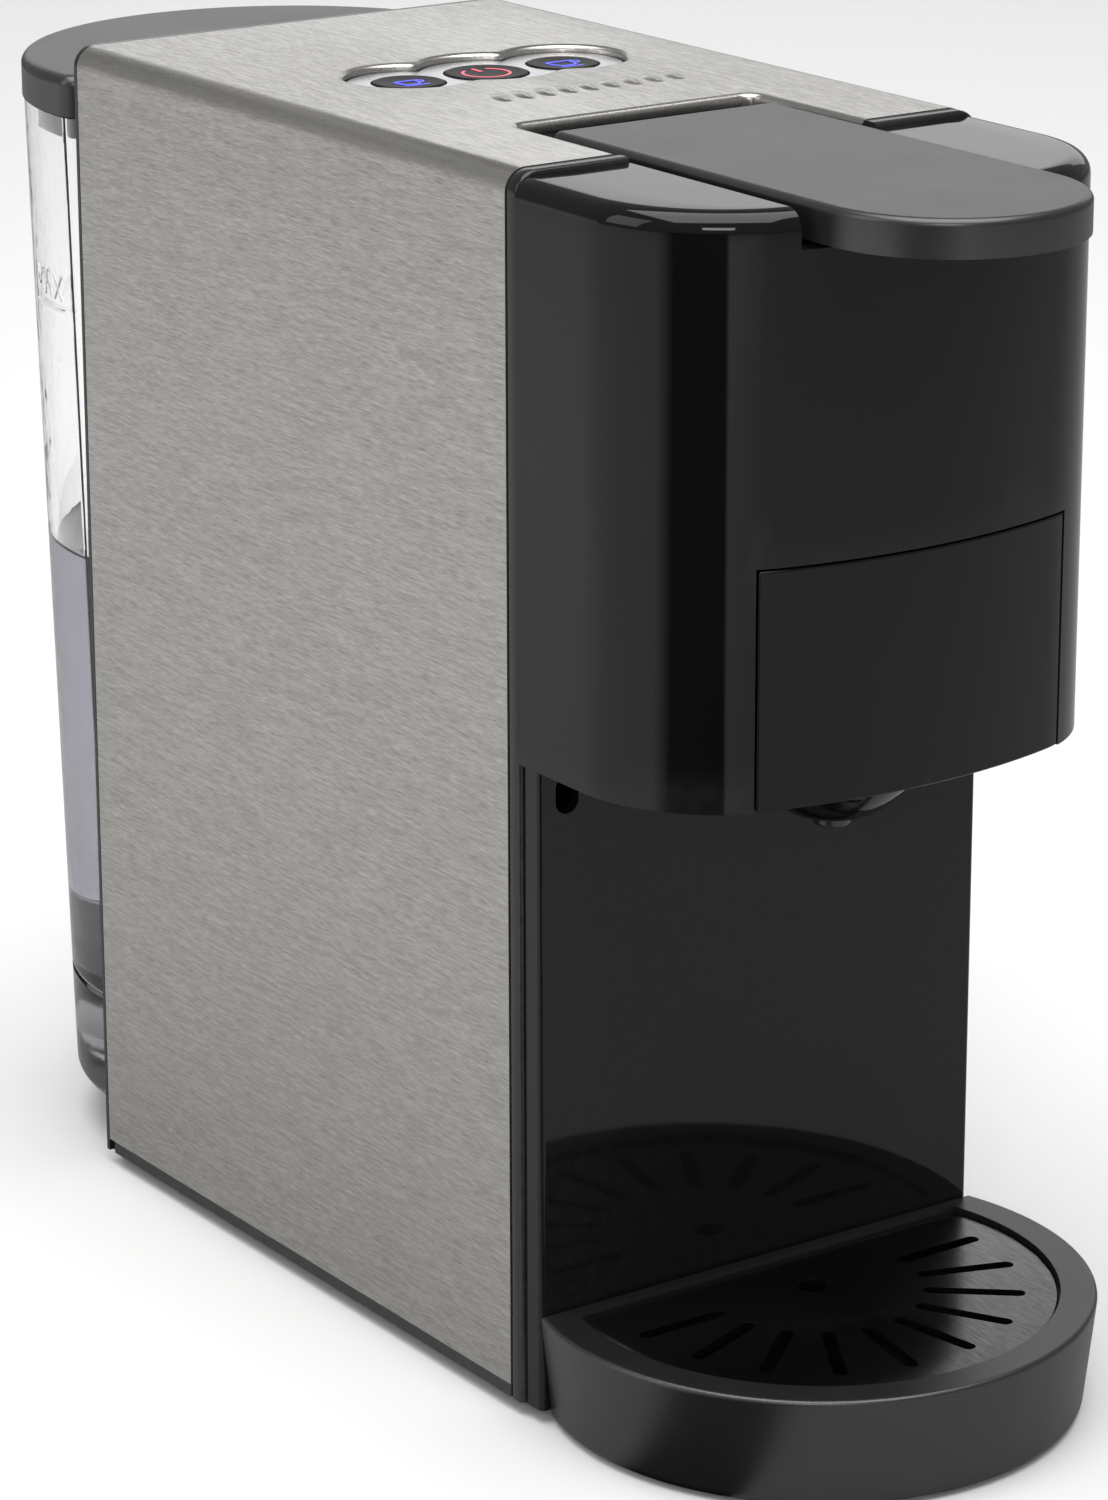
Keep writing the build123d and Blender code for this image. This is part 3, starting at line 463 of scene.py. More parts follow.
def lit_symbol(name, colour, glow):
    """A lit symbol behind dark plastic, its light broken up by a fine moulded grain."""
    mat, tree, shader = blank(name, Roughness=0.35, Emission_Strength=glow)
    shade = remap(tree, effect(tree, "grain", Size=3000.0)["Shade"], 0, 1)
    feed(tree, shader, Emission_Color=blend(tree, shade, rgba(colour, 0.6), rgba(colour, 0.9)),
         Base_Color=blend(tree, shade, rgba(colour, 0.25), rgba(colour, 0.4)))
    return mat


def circuit_board(name):
    """Solder mask with copper tracks under it: a fine lattice of cells, lighter where a track runs."""
    mat, tree, shader = blank(name, Specular_IOR_Level=0.5)
    colour, track = wire(tree, "ShaderNodeTexBrick", {
        "Vector": object_point(tree), "Scale": 160.0, "Mortar Size": 0.09, "Color1": (0.01, 0.10, 0.035, 1),
        "Color2": (0.012, 0.13, 0.045, 1), "Mortar": (0.03, 0.22, 0.09, 1)}).outputs
    feed(tree, shader, Base_Color=colour, Roughness=remap(tree, track, 0, 1, 0.32, 0.22))
    bump(tree, shader, track, 0.4, 0.0001)
    return mat


RUBBED_GREY = (0.10, 0.10, 0.10)
# slot: colour, roughness, grain size, relief, colour swing, dust, metallic, specular, rubbed edges' colour
MOULDED = {
    "satin_black": ((0.012, 0.012, 0.0125), 0.34, 3600, 0.22, 0.25, 0.03, 0, 1.0, (0.05, 0.05, 0.05)),
    "rim_black": ((0.009, 0.009, 0.0095), 0.2, 3000, 0.1, 0.25, 0.02, 0, 0.5, RUBBED_GREY),
    "inner_abs": ((0.022, 0.022, 0.024), 0.55, 2400, 0.35, 0.25, 0.06, 0, 0.5, RUBBED_GREY),
    "brew_nylon": ((0.030, 0.030, 0.033), 0.5, 2600, 0.35, 0.25, 0.05, 0, 0.5, RUBBED_GREY),
    "button_black": ((0.006, 0.006, 0.007), 0.42, 2500, 0.1, 0.25, 0.015, 0, 0.12, (0.02, 0.02, 0.02)),
    "switch_black": ((0.02, 0.02, 0.021), 0.42, 3200, 0.2, 0.25, 0.08, 0, 0.5, RUBBED_GREY),
    "rubber_black": ((0.018, 0.018, 0.018), 0.78, 2200, 0.5, 0.25, 0.12, 0, 0.35, RUBBED_GREY),
    "valve_white": ((0.72, 0.72, 0.70), 0.42, 2600, 0.2, 0.04, 0.04, 0, 0.5, (0.8, 0.8, 0.78)),
    "silicone": ((0.55, 0.16, 0.08), 0.55, 1800, 0.25, 0.08, 0.08, 0, 0.5, RUBBED_GREY),
    "hose_silicone": ((0.62, 0.62, 0.60), 0.38, 1500, 0.2, 0.06, 0.06, 0, 0.5, (0.7, 0.7, 0.68)),
    "cup_steel": ((0.60, 0.59, 0.57), 0.26, 2000, 0.1, 0.08, 0.03, 1, 0.5, (0.75, 0.74, 0.72)),
    "shaft_steel": ((0.58, 0.57, 0.56), 0.2, 2600, 0.1, 0.08, 0.02, 1, 0.5, (0.75, 0.74, 0.72)),
    "zinc_screw": ((0.56, 0.57, 0.60), 0.34, 2400, 0.3, 0.15, 0.04, 1, 0.5, (0.7, 0.7, 0.72)),
    "cast_heater": ((0.42, 0.42, 0.43), 0.5, 1300, 0.7, 0.15, 0.08, 1, 0.5, (0.6, 0.6, 0.6)),
    "pump_iron": ((0.20, 0.20, 0.22), 0.42, 1500, 0.5, 0.2, 0.06, 1, 0.5, (0.4, 0.4, 0.42)),
    "bezel_silver": ((0.66, 0.67, 0.69), 0.24, 2600, 0.08, 0.06, 0.03, 0.85, 0.5, (0.85, 0.85, 0.86)),
}
FINISHES = {}


def make_finish(slot):
    cover, house = bpy.context.scene.coffee_cover, bpy.context.scene.coffee_housing
    if slot == "steel":
        return brushed_steel("Brushed steel", tuple(cover.colour), cover.roughness)
    if slot == "grid_steel":
        return brushed_steel("Dark brushed grid", (0.13, 0.13, 0.132), 0.30, streak=0.22)
    if slot == "clear_tank":
        return clear_plastic("Clear tank", (0.985, 0.985, 0.99), 0.015, 1.49)
    if slot == "smoked_stand":
        return clear_plastic("Smoked stand", (0.24, 0.24, 0.25), 0.08, 1.3)
    if slot == "board_green":
        return circuit_board("Circuit board")
    if slot == "gloss_black":
        return moulded("Gloss black", tuple(house.colour), house.roughness, 900, 0.02, 0.1, 0.012, 0, 0.36,
                       (0.03, 0.03, 0.03), ripple=0.00006)
    return moulded(slot.replace("_", " ").capitalize(), *MOULDED[slot])


def finish_of(slot):
    """The finish of a material slot, made when it is first asked for."""
    if slot not in FINISHES:
        FINISHES[slot] = make_finish(slot)
    return FINISHES[slot]


# ------------------------------------------------------------------ steel cover

LOBE_X, LOBE_Y, LOBE_PITCH = 3.0, 24.5, 19.1
LOBE_SIDE, LOBE_MID = 14.3, 15.6
NOTCH_HALF, NOTCH_BACK, NOTCH_CORNER = 29.1, -31.6, 3.0


def lobe_half(grow):
    """Upper half of the outline round three overlapping discs: arcs cut where their circles cross."""
    side, mid = LOBE_SIDE + grow, LOBE_MID + grow
    cross = (LOBE_PITCH**2 + mid**2 - side**2) / (2 * LOBE_PITCH)
    high = sqrt(mid**2 - cross**2)
    outer, inner = atan2(high, cross - LOBE_PITCH), atan2(high, cross)
    return join(arc(LOBE_X + LOBE_PITCH, LOBE_Y, side, 0, outer, 40),
                arc(LOBE_X, LOBE_Y, mid, inner, pi - inner, 30),
                arc(LOBE_X - LOBE_PITCH, LOBE_Y, side, pi - outer, pi, 40))


def lobe_loop(grow, passes=5):
    """The whole outline, its inward cusps rounded by averaging neighbours a few times."""
    upper = lobe_half(grow)
    lower = np.stack([upper[::-1, 0], 2 * LOBE_Y - upper[::-1, 1]], axis=-1)
    loop = np.concatenate([upper, lower[1:-1]])
    for _ in range(passes):
        loop = (np.roll(loop, 1, 0) + 2 * loop + np.roll(loop, -1, 0)) / 4
    return loop


def notch_path(grow, front):
    """The lever notch in plan from its front left end round to its front right end."""
    half, back, r = NOTCH_HALF + grow, NOTCH_BACK + grow, NOTCH_CORNER + grow
    return join(np.array([[-half, front], [-half, back - r]]), arc(-half + r, back - r, r, pi, pi / 2, 10),
                arc(half - r, back - r, r, pi / 2, 0, 10), np.array([[half, back - r], [half, front]]))


def lip_fall(k, power=2.2):
    """Depth of a rolled edge, 0 to 1, as a quarter of a superellipse: it leaves level and ends upright."""
    return 1 - (1 - k**power)**(1 / power)


def cover_shape(bend, lip_width, lip_depth):
    """The bent sheet: top in two flat faces that meet through the button recess, lips, bends and sides."""
    _, y0, low = COVER_LOW
    x1, y1, top = COVER_HIGH
    shape = Shape()
    flat = x1 - bend
    grow = lip_width / 2
    outer = lobe_loop(grow)
    half = len(outer) // 2
    right, left = outer[0], outer[half]
    rear = np.concatenate([[[flat, right[1]], [flat, y1], [-flat, y1], [-flat, left[1]]], outer[half::-1]])
    lip = 1.7
    notch = notch_path(lip, y0)
    front = np.concatenate([[[-flat, left[1]], [-flat, y0]], notch, [[flat, y0], [flat, right[1]]],
                            outer[:1], outer[:half - 1:-1]])
    shape.polygon(lift(rear, top))
    shape.polygon(lift(front, top))
    # round the buttons: the lip's radius falls evenly while its height rolls over
    t = np.linspace(0, 1, 15)**0.7
    rows = [lift(lobe_loop(grow - lip_width * k), top - lip_depth * lip_fall(k)) for k in t]
    shape.surface([*rows, lift(lobe_loop(grow - lip_width), top - lip_depth - 0.7)], closed=True)
    # round the notch
    rows = [lift(notch_path(lip * (1 - k), y0), top - lip_depth * lip_fall(k)) for k in t]
    shape.surface([*rows, lift(notch_path(0.0, y0), top - 2.4)])
    # bends and sides: quarter circle, then straight down
    a = np.linspace(0, pi / 2, 12)
    section = np.stack([flat + bend * np.sin(a), top - bend + bend * np.cos(a)], axis=-1)
    section = np.concatenate([section, [[x1, z] for z in np.linspace(top - bend - 0.6, low, 8)]])
    for side in (-1, 1):
        middle = right[1] if side > 0 else left[1]
        shape.surface([np.stack([side * section[:, 0], np.full(len(section), y), section[:, 1]], axis=-1)
                       for y in (y0, middle, y1)])
    return shape


RIM_BEND, RIM_FOOT, RIM_DEPTH = 4.6, 3.0, 3.2
RIM_BACK, RIM_FRONT = -67.2, -70.95


def rim_path(inset, stop):
    """Left half of the body's outline from the front: up the side, round the bend, then in to X = -stop."""
    bend_x, bend_z = COVER_HIGH[0] - RIM_BEND, COVER_HIGH[2] - RIM_BEND
    side = np.stack([np.full(9, inset - COVER_HIGH[0]), np.linspace(RIM_FOOT, bend_z, 9)], axis=-1)
    turn = arc(-bend_x, bend_z, RIM_BEND - inset, pi, pi / 2, 12)
    return join(side, turn, np.array([[-stop, COVER_HIGH[2] - inset]]))


def rim_shape():
    """The rim in front of the steel: a closed profile of inset by depth, carried up each side and over.

    It has a fine groove against the steel, a flat land and a rounded front edge."""
    land, r = 0.06, 0.9
    profile = [(RIM_DEPTH, RIM_BACK), (0.55, RIM_BACK), (0.2, RIM_BACK - 0.25), (land, RIM_BACK - 0.7)]
    profile += [(land + r * (1 - cos(t)), RIM_FRONT + r * (1 - sin(t))) for t in np.linspace(0, pi / 2, 6)]
    profile += [(1.5, RIM_FRONT), (1.5, RIM_FRONT + 0.25), (RIM_DEPTH, RIM_FRONT + 0.25)]
    shape = Shape()
    for side in (-1, 1):
        rows = []
        for inset, y in profile + profile[:1]:
            path = rim_path(inset, NOTCH_HALF + 0.3)
            rows.append(np.stack([path[:, 0] * -side, np.full(len(path), y), path[:, 1]], axis=-1))
        shape.surface(rows)
        for end in (0, -1):
            shape.polygon([row[end] for row in rows[:-1]])
    return shape


# ------------------------------------------------------------------ front housing and drawer front

SIDE_HALF, HOUSE_BACK = 55.5, -71.0
CORNER_R, CORNER_X, CORNER_Y, FRONT_R = 31.0, 24.5, -93.0, 130.0
FRONT_C = CORNER_Y + sqrt((FRONT_R - CORNER_R)**2 - CORNER_X**2)
CHANNEL_HALF, CHANNEL_FLOOR, DOOR_GAP_HALF = 29.1, 243.4, 36.8


def front_point(x, inset=0.0):
    """The front curve's Y at a given X."""
    return FRONT_C - np.sqrt((FRONT_R - inset)**2 - np.asarray(x, float)**2)


def head_half(inset, edge=DOOR_GAP_HALF):
    """Left half of the head's outline, from the back round the corner to the middle of the front.

    Straight side, corner arc in two runs that meet at X = -edge, front arc in two runs that meet at the
    channel's side."""
    r, rf = CORNER_R - inset, FRONT_R - inset
    drop = FRONT_C - CORNER_Y
    tangent = pi + atan2(drop, CORNER_X)
    side = np.stack([np.full(7, -(SIDE_HALF - inset)), np.linspace(HOUSE_BACK, CORNER_Y, 7)], axis=-1)
    split = min(pi + np.arccos(min(1.0, (edge - CORNER_X) / r)), tangent)
    corner = join(arc(-CORNER_X, CORNER_Y, r, pi, split, 22),
                  arc(-CORNER_X, CORNER_Y, r, split, tangent, 9))
    tx = CORNER_X / (FRONT_R - CORNER_R) * rf
    runs = []
    for a, b, n in ((-tx, -CHANNEL_HALF, 5), (-CHANNEL_HALF, 0.0, 16)):
        x = np.linspace(a, b, n)
        runs.append(np.stack([x, front_point(x, inset)], axis=-1))
    return join(side, corner, *runs)


def head_row(inset, edge=DOOR_GAP_HALF):
    """The head's whole outline, left to right."""
    left = head_half(inset, edge)
    return join(left, left[::-1] * (-1, 1))


def housing_shape(shoulder):
    """Walls over a grid of outline by height, open at the drawer and the channel; shoulders; channel."""
    low, top = HOUSE_LOW[2], HOUSE_HIGH[2]
    window = DOOR_HIGH[2] + 0.4
    levels = np.concatenate([np.linspace(low, window, 10), np.linspace(window, CHANNEL_FLOOR, 10)[1:],
                             [top - shoulder]])
    shape = Shape()
    plan = head_row(0.0)
    rows = np.array([lift(plan, z) for z in levels])
    mid_x = (plan[1:, 0] + plan[:-1, 0]) / 2
    mid_z = (levels[1:] + levels[:-1]) / 2
    x, z = np.meshgrid(np.abs(mid_x), mid_z)
    gone = (x < DOOR_GAP_HALF) & (z < window) | (x < CHANNEL_HALF) & (z > CHANNEL_FLOOR)
    shape.surface(rows, keep=~gone)
    # shoulders: the wall's top edge turns over a quarter circle, then runs flat to the channel
    turn = np.linspace(0, pi / 2, 10)
    for side in (-1, 1):
        rows = []
        for a in turn:
            half = head_half(shoulder * (1 - cos(a)))
            half = half[:int(np.argmax(half[:, 0] > -CHANNEL_HALF - 1e-6)) + 1]
            rows.append(lift(half * (-side, 1), top - shoulder + shoulder * sin(a)))
        shape.surface(rows)
        edge = rows[-1]
        across = np.linspace(0, 1, 4)[:, None, None]
        inner = edge.copy()
        inner[:, 0] = side * CHANNEL_HALF
        shape.surface(edge + (inner - edge) * across)
        front = [row[-1] for row in rows]
        start = np.array([side * CHANNEL_HALF, front_point(CHANNEL_HALF), CHANNEL_FLOOR])
        back = [[side * CHANNEL_HALF, HOUSE_BACK, CHANNEL_FLOOR]]
        shape.polygon(np.concatenate([[start], front, inner[::-1][1:], back]))
    # channel floor, from the front curve back to the rim
    x = plan[np.abs(plan[:, 0]) <= CHANNEL_HALF + 1e-6, 0]
    depth = [front_point(x) * (1 - k) + HOUSE_BACK * k for k in np.linspace(0, 1, 5)]
    return shape.surface([lift(np.stack([x, y], axis=-1), CHANNEL_FLOOR) for y in depth])


def drawer_shape():
    """The drawer's front: the head's outline between the seams, over its height."""
    half = DOOR_HIGH[0]
    plan = head_row(0.0, edge=half)
    plan = plan[np.abs(plan[:, 0]) <= half + 1e-6]
    levels = np.linspace(DOOR_LOW[2], DOOR_HIGH[2], 10)
    return Shape().surface([lift(plan, z) for z in levels])


# ------------------------------------------------------------------ buttons

def ribbons(paths, width, height, rise=0.12):
    """Flat raised bands along plan paths: each point steps out to both sides by half the width."""
    shape = Shape()
    for path in paths:
        p = np.asarray(path, float)
        step = np.gradient(p, axis=0)
        if np.allclose(p[0], p[-1]):
            step[0] = step[-1] = p[1] - p[-2]
        step /= np.linalg.norm(step, axis=1)[:, None]
        side = np.stack([-step[:, 1], step[:, 0]], axis=-1) * width / 2
        shape.surface([lift(p - side, height - rise), lift(p - side, height), lift(p + side, height),
                       lift(p + side, height - rise)])
    return shape


def evened(path, parts):
    """Each run of a path cut into equal parts."""
    path = np.asarray(path, float)
    runs = [np.linspace(a, b, parts + 1)[:-1] for a, b in zip(path[:-1], path[1:])]
    return np.concatenate([*runs, path[-1:]])


def cup_paths(x, y, size):
    """A cup in plan: an open bowl, its rim, a saucer line and an ear."""
    bowl = np.array([[-0.62, 0.45], [-0.58, -0.1], [-0.38, -0.5], [0.0, -0.56], [0.38, -0.5], [0.58, -0.1],
                     [0.62, 0.45], [-0.62, 0.45]])
    ear = arc(0.62, 0.12, 0.3, -pi / 2, pi / 2, 10)
    saucer = np.array([[-0.8, -0.82], [0.0, -0.82], [0.8, -0.82]])
    return [np.array([x, y]) + size * p for p in (evened(bowl, 5), ear, saucer)]


def power_paths(x, y, size):
    """A ring open at the top, and a short stroke in the opening."""
    ring = arc(0, 0, 1.0, pi / 2 + 0.55, pi / 2 - 0.55 + 2 * pi, 40)
    stroke = np.array([[0.0, 0.35], [0.0, 0.8], [0.0, 1.25]])
    return [np.array([x, y]) + size * p for p in (ring, stroke)]


def cap_shape(node, dish):
    """A button: a round profile turned about its axis, with a rounded rim and a shallow dish on top."""
    low, high = cad(node)
    x, y = (low[:2] + high[:2]) / 2
    flange, foot, top, count = (high[0] - low[0]) / 2, low[2], high[2], 72
    step, rim, stem = 0.9, 0.5, 2.5
    r = flange - step
    profile = [(flange, foot + 0.7), (flange, foot + 1.7), (r, foot + 1.7), (r, top - rim)]
    profile += [(r - rim + rim * cos(a), top - rim + rim * sin(a)) for a in np.linspace(0, pi / 2, 6)[1:]]
    profile += [((r - rim) * k, top - dish * (1 - k**2)) for k in np.linspace(1, 0, 9)[1:-1]]
    a = np.linspace(0, 2 * pi, count, endpoint=False)
    ring = np.stack([np.cos(a), np.sin(a)], axis=-1)
    rows = [lift((x, y) + ring * p, z) for p, z in profile]
    shape = Shape().surface(rows, closed=True)
    hub = [[x, y, top - dish]]
    shape.add(np.concatenate([rows[-1], hub]), [[i, (i + 1) % count, count] for i in range(count)])
    stems = [lift((x, y) + ring * stem, z) for z in (foot + 0.7, foot)]
    shape.surface([rows[0], stems[0]], closed=True)
    shape.surface(stems, closed=True)
    shape.polygon(stems[1])
    return shape, (x, y, top)


# ------------------------------------------------------------------ spout

def turned(profile, x, y, count=64):
    """A closed profile of radius by height, turned about the upright axis through X, Y."""
    a = np.linspace(0, 2 * pi, count, endpoint=False)
    ring = np.stack([np.cos(a), np.sin(a)], axis=-1)
    return Shape().surface([lift((x, y) + ring * r, z) for r, z in [*profile, profile[0]]], closed=True)


def dome_profile(r, low, rim, top, wall, bore):
    """Under the drawer: a flat foot, a bowl whose height is a power of the way out, then a collar."""
    foot, power = 8.0, 1.3
    way = np.linspace(0, 1, 14)
    outer = [(foot + (r - foot) * k, low + (rim - low) * k**power) for k in way]
    inner = [(foot + (r - wall - foot) * k, low + wall + (rim - low) * k**power) for k in way[::-1]]
    return [(bore, low), *outer, (r, top), (r - wall, top), *inner, (bore, low + wall)]


def nozzle_profile(low, top, bore, r):
    """A short spout with a rounded mouth."""
    a = np.linspace(0, pi / 2, 6)
    mouth = 0.8
    edge = [(r - mouth + mouth * sin(t), low + mouth - mouth * cos(t)) for t in a]
    return [(bore, low), *edge, (r, top), (bore, top)]


# ------------------------------------------------------------------ tank

TANK_Y, TANK_FLAT, TANK_WALL = 99.4, 94.1, 2.2
FOOT_Z, FOOT_R, MOUTH_Z, MOUTH_R = 36.6, 51.6, 236.3, 55.9


def round_back(radius, flat, corner, samples=96):
    """Plan of the tank: a circle cut flat on the machine's side, its two corners rounded."""
    fy = flat + corner
    fx = sqrt((radius - corner)**2 - (fy - TANK_Y)**2)
    start = atan2(fy - TANK_Y, fx)
    big = arc(0, TANK_Y, radius, start, pi - start, samples)
    left = arc(-fx, fy, corner, pi - start, 3 * pi / 2, 9)
    right = arc(fx, fy, corner, -pi / 2, start, 9)
    line = np.stack([np.linspace(-fx, fx, 20), np.full(20, flat)], axis=-1)
    return join(big, left, line, right)[:-1]


def tank_radius(z):
    """The tank's outer radius grows evenly from its foot to its mouth."""
    return FOOT_R + (z - FOOT_Z) / (MOUTH_Z - FOOT_Z) * (MOUTH_R - FOOT_R)


def water_shape(level):
    """Water: the tank's inner plan at each height, sunk a little into the wall, edge raised on top."""
    floor, sunk, corner = 40.2, 0.4, 2.6
    steps = [(1.2, floor + 0.05), (0.35, floor + 0.4), (0.0, floor + 1.2)]
    steps += [(0.0, z) for z in np.linspace(floor + 6, level - 2.0, 18)]
    steps += [(0.0, level + 0.8), (0.25, level + 0.55), (0.7, level + 0.2), (1.6, level)]
    rows = []
    for inset, z in steps:
        inner = TANK_WALL + inset - sunk
        plan = round_back(tank_radius(z) - inner, TANK_FLAT + inner, max(0.8, corner + sunk - inset))
        rows.append(lift(plan, z))
    shape = Shape().surface(rows, closed=True)
    shape.polygon(rows[0][::-1])
    return shape.polygon(rows[-1])


def wall_point(angle, z, out=0.0):
    """A point on the tank's outer wall, lifted off it by a distance."""
    r = tank_radius(z) + out
    return np.stack([r * np.cos(angle), TANK_Y + r * np.sin(angle), z + 0 * r], axis=-1)


def wall_strokes(strokes, angle, z, size, width):
    """Raised strokes on the tank's wall: paths in letter heights, wrapped round the wall at a height."""
    shape = Shape()
    rise, sunk, narrow = 0.35, 0.02, 0.7
    for path in strokes:
        p = evened(path, 4)
        step = np.gradient(p, axis=0)
        step /= np.linalg.norm(step, axis=1)[:, None]
        turn = np.stack([-step[:, 1], step[:, 0]], axis=-1) * width / 2 / size
        rows = []
        for across, out in ((-1, 0.0), (-narrow, rise), (narrow, rise), (1, 0.0)):
            q = p + turn * across
            a = angle + q[:, 0] * size / tank_radius(z)
            rows.append(wall_point(a, z + q[:, 1] * size, out - sunk))
        shape.surface(rows)
    return shape


LETTERS = {
    "M": [[(0, 0), (0, 1), (0.4, 0.35), (0.8, 1), (0.8, 0)]],
    "A": [[(0, 0), (0.38, 1), (0.76, 0)], [(0.14, 0.36), (0.62, 0.36)]],
    "X": [[(0, 0), (0.7, 1)], [(0, 1), (0.7, 0)]],
}


def mark_strokes():
    """The full mark: three letters and a line under them."""
    strokes, x = [], -1.45
    for letter in "MAX":
        strokes += [[(px + x, py) for px, py in path] for path in LETTERS[letter]]
        x += 1.05
    return strokes + [[(-1.6, -0.45), (1.6, -0.45)]]


# ------------------------------------------------------------------ operators

class CoverOperator(bpy.types.Operator):
    """Build the bent steel cover with its pressed lips"""
    bl_idname = "coffee.steel_cover"
    bl_label = "Steel Cover"

    def execute(self, context):
        s = context.scene.coffee_cover
        shape = cover_shape(s.bend / MM, s.lip_width / MM, s.lip_depth / MM)
        obj = piece("steel_cover_sheet", shape, "machine", finish_of("steel"), ["steel_cover"],
                    facing=(0, 0, 1), angle=30)
        soften(thicken(obj, s.sheet), 0.00022, steps=2, angle=50)
        piece("front_rim_bead", rim_shape(), "machine", finish_of("rim_black"), ["front_rim"])
        return {"FINISHED"}


class HousingOperator(bpy.types.Operator):
    """Build the gloss front housing and the drawer's front between its seams"""
    bl_idname = "coffee.front_housing"
    bl_label = "Front Housing"

    def execute(self, context):
        s = context.scene.coffee_housing
        obj = piece("front_housing_shell", housing_shape(s.shoulder / MM), "machine",
                    finish_of("gloss_black"), ["front_housing"], facing=(0, -1, 0))
        soften(thicken(obj, s.wall), s.edge)
        door = piece("drawer_front_shell", drawer_shape(), "adapter",
                     finish_of("gloss_black"), ["adapter_front"], facing=(0, -1, 0))
        soften(thicken(door, s.wall), s.edge)
        return {"FINISHED"}


class SpoutOperator(bpy.types.Operator):
    """Build the shallow dome under the drawer and its short nozzle"""
    bl_idname = "coffee.spout"
    bl_label = "Spout"

    def execute(self, context):
        s = context.scene.coffee_housing
        low, high = cad("spout_dome")
        x, y = (low[:2] + high[:2]) / 2
        drop, short = s.dome_drop / MM, s.nozzle_short / MM
        dome = turned(dome_profile(high[0], low[2] - drop, HOUSE_LOW[2] - 0.3, high[2], 2.0, 3.75), x, y)
        piece("spout_dome_shell", dome, "adapter", finish_of("gloss_black"), ["spout_dome"])
        low, high = cad("nozzle")
        spout = turned(nozzle_profile(low[2] + short, high[2], 1.8, 3.7), x, y)
        piece("nozzle_spout", spout, "adapter", finish_of("satin_black"), ["nozzle"])
        return {"FINISHED"}


class ButtonOperator(bpy.types.Operator):
    """Build the three buttons and their lit symbols"""
    bl_idname = "coffee.buttons"
    bl_label = "Buttons"

    def execute(self, context):
        s = context.scene.coffee_buttons
        cup = lit_symbol("Lit cup", tuple(s.cup_light), s.glow)
        power = lit_symbol("Lit power", tuple(s.power_light), s.glow)
        for node, label in zip(BUTTON_NODES, ("small_cup", "power", "large_cup")):
            shape, (x, y, top) = cap_shape(node, s.dish / MM)
            piece(label + "_cap", shape, node, finish_of("button_black"), [node])
            height = top - s.dish / MM + 0.16
            if label == "power":
                shape, lamp = ribbons(power_paths(x, y, 4.9), 0.6, height), power
            else:
                size = 3.9 if label == "small_cup" else 4.6
                shape, lamp = ribbons(cup_paths(x, y, size), 0.5, height), cup
            piece(label + "_symbol", shape, node, lamp, facing=(0, 0, 1))
        return {"FINISHED"}


class EmblemOperator(bpy.types.Operator):
    """Press a row of small plain beans into the top, in front of the buttons"""
    bl_idname = "coffee.emblem"
    bl_label = "Pressed Beans"

    def execute(self, context):
        """Each bean is an oval dome with a groove along its middle that fades at its ends."""
        half_x, half_y, rise, groove, turned = 2.15, 4.6, 0.55, 0.2, radians(-14)
        row_x, row_y, pitch, count = 6.4, -7.2, 5.3, 9
        u, v = np.meshgrid(np.linspace(0, 1, 9), np.linspace(0, 2 * pi, 28, endpoint=False), indexing="ij")
        x, y = half_x * u * np.cos(v), half_y * u * np.sin(v)
        dome = rise * (1 - u**2) - groove * np.exp(-(x / 0.3)**2) * np.clip(1 - (y / 3.6)**2, 0, 1)
        shape = Shape()
        for k in range(count):
            px = row_x + (k - (count - 1) / 2) * pitch + x * cos(turned) - y * sin(turned)
            py = row_y + x * sin(turned) + y * cos(turned)
            shape.surface(np.stack([px, py, COVER_HIGH[2] - 0.02 + dome], axis=-1), closed=True)
        piece("pressed_beans", shape, "machine", finish_of("steel"), facing=(0, 0, 1), angle=60)
        return {"FINISHED"}


class GridOperator(bpy.types.Operator):
    """Give the drip grid's rim and slots rounded pressed edges"""
    bl_idname = "coffee.drip_grid"
    bl_label = "Drip Grid"

    def execute(self, context):
        obj = copy_of("drip_grid", "drip_grid_pressed")
        soften(obj, context.scene.coffee_grid.edge, steps=2)
        seat(obj, "drip_grid", ["drip_grid"])
        return {"FINISHED"}


class TankOperator(bpy.types.Operator):
    """Fill the tank with water and raise the full mark on its wall"""
    bl_idname = "coffee.tank"
    bl_label = "Tank and Water"

    def execute(self, context):
        s = context.scene.coffee_tank
        water = still_water("Water", s.water_shade_tint)
        piece("water", water_shape(s.water_level / MM), "tank", water)
        coil = seat(copy_of("valve_spring", "valve_spring_wire"), "tank", ["valve_spring"])
        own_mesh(coil)
        mark = wall_strokes(mark_strokes(), radians(170.5), s.mark_height / MM + 2.5, 5.2, 0.75)
        piece("full_mark", mark, "tank", finish_of("clear_tank"), facing=(-1, 0, 0), angle=60)
        return {"FINISHED"}


class FinishOperator(bpy.types.Operator):
    """Give every carried-over node the finish of its material slot"""
    bl_idname = "coffee.finishes"
    bl_label = "Finishes"

    def execute(self, context):
        for part in frame["record"]["subparts"]:
            obj = NODES[part["node"]]
            slot = "smoked_stand" if part["node"] == "tank_stand" else part["material_slot"]
            for held in obj.material_slots:
                held.link = "OBJECT"
                held.material = finish_of(slot)
        return {"FINISHED"}


def copy_of(node, name):
    """A merged copy of a node's mesh, flat areas joined into single faces."""
    bm = bmesh.new()
    bm.from_mesh(NODES[node].data)
    bmesh.ops.remove_doubles(bm, verts=bm.verts, dist=2e-6)
    bmesh.ops.dissolve_limit(bm, angle_limit=radians(0.5), verts=bm.verts, edges=bm.edges)
    me = bpy.data.meshes.new(name)
    bm.to_mesh(me)
    bm.free()
    rounded(me)
    me.materials.append(NODES[node].material_slots[0].material)
    return placed(name, me)


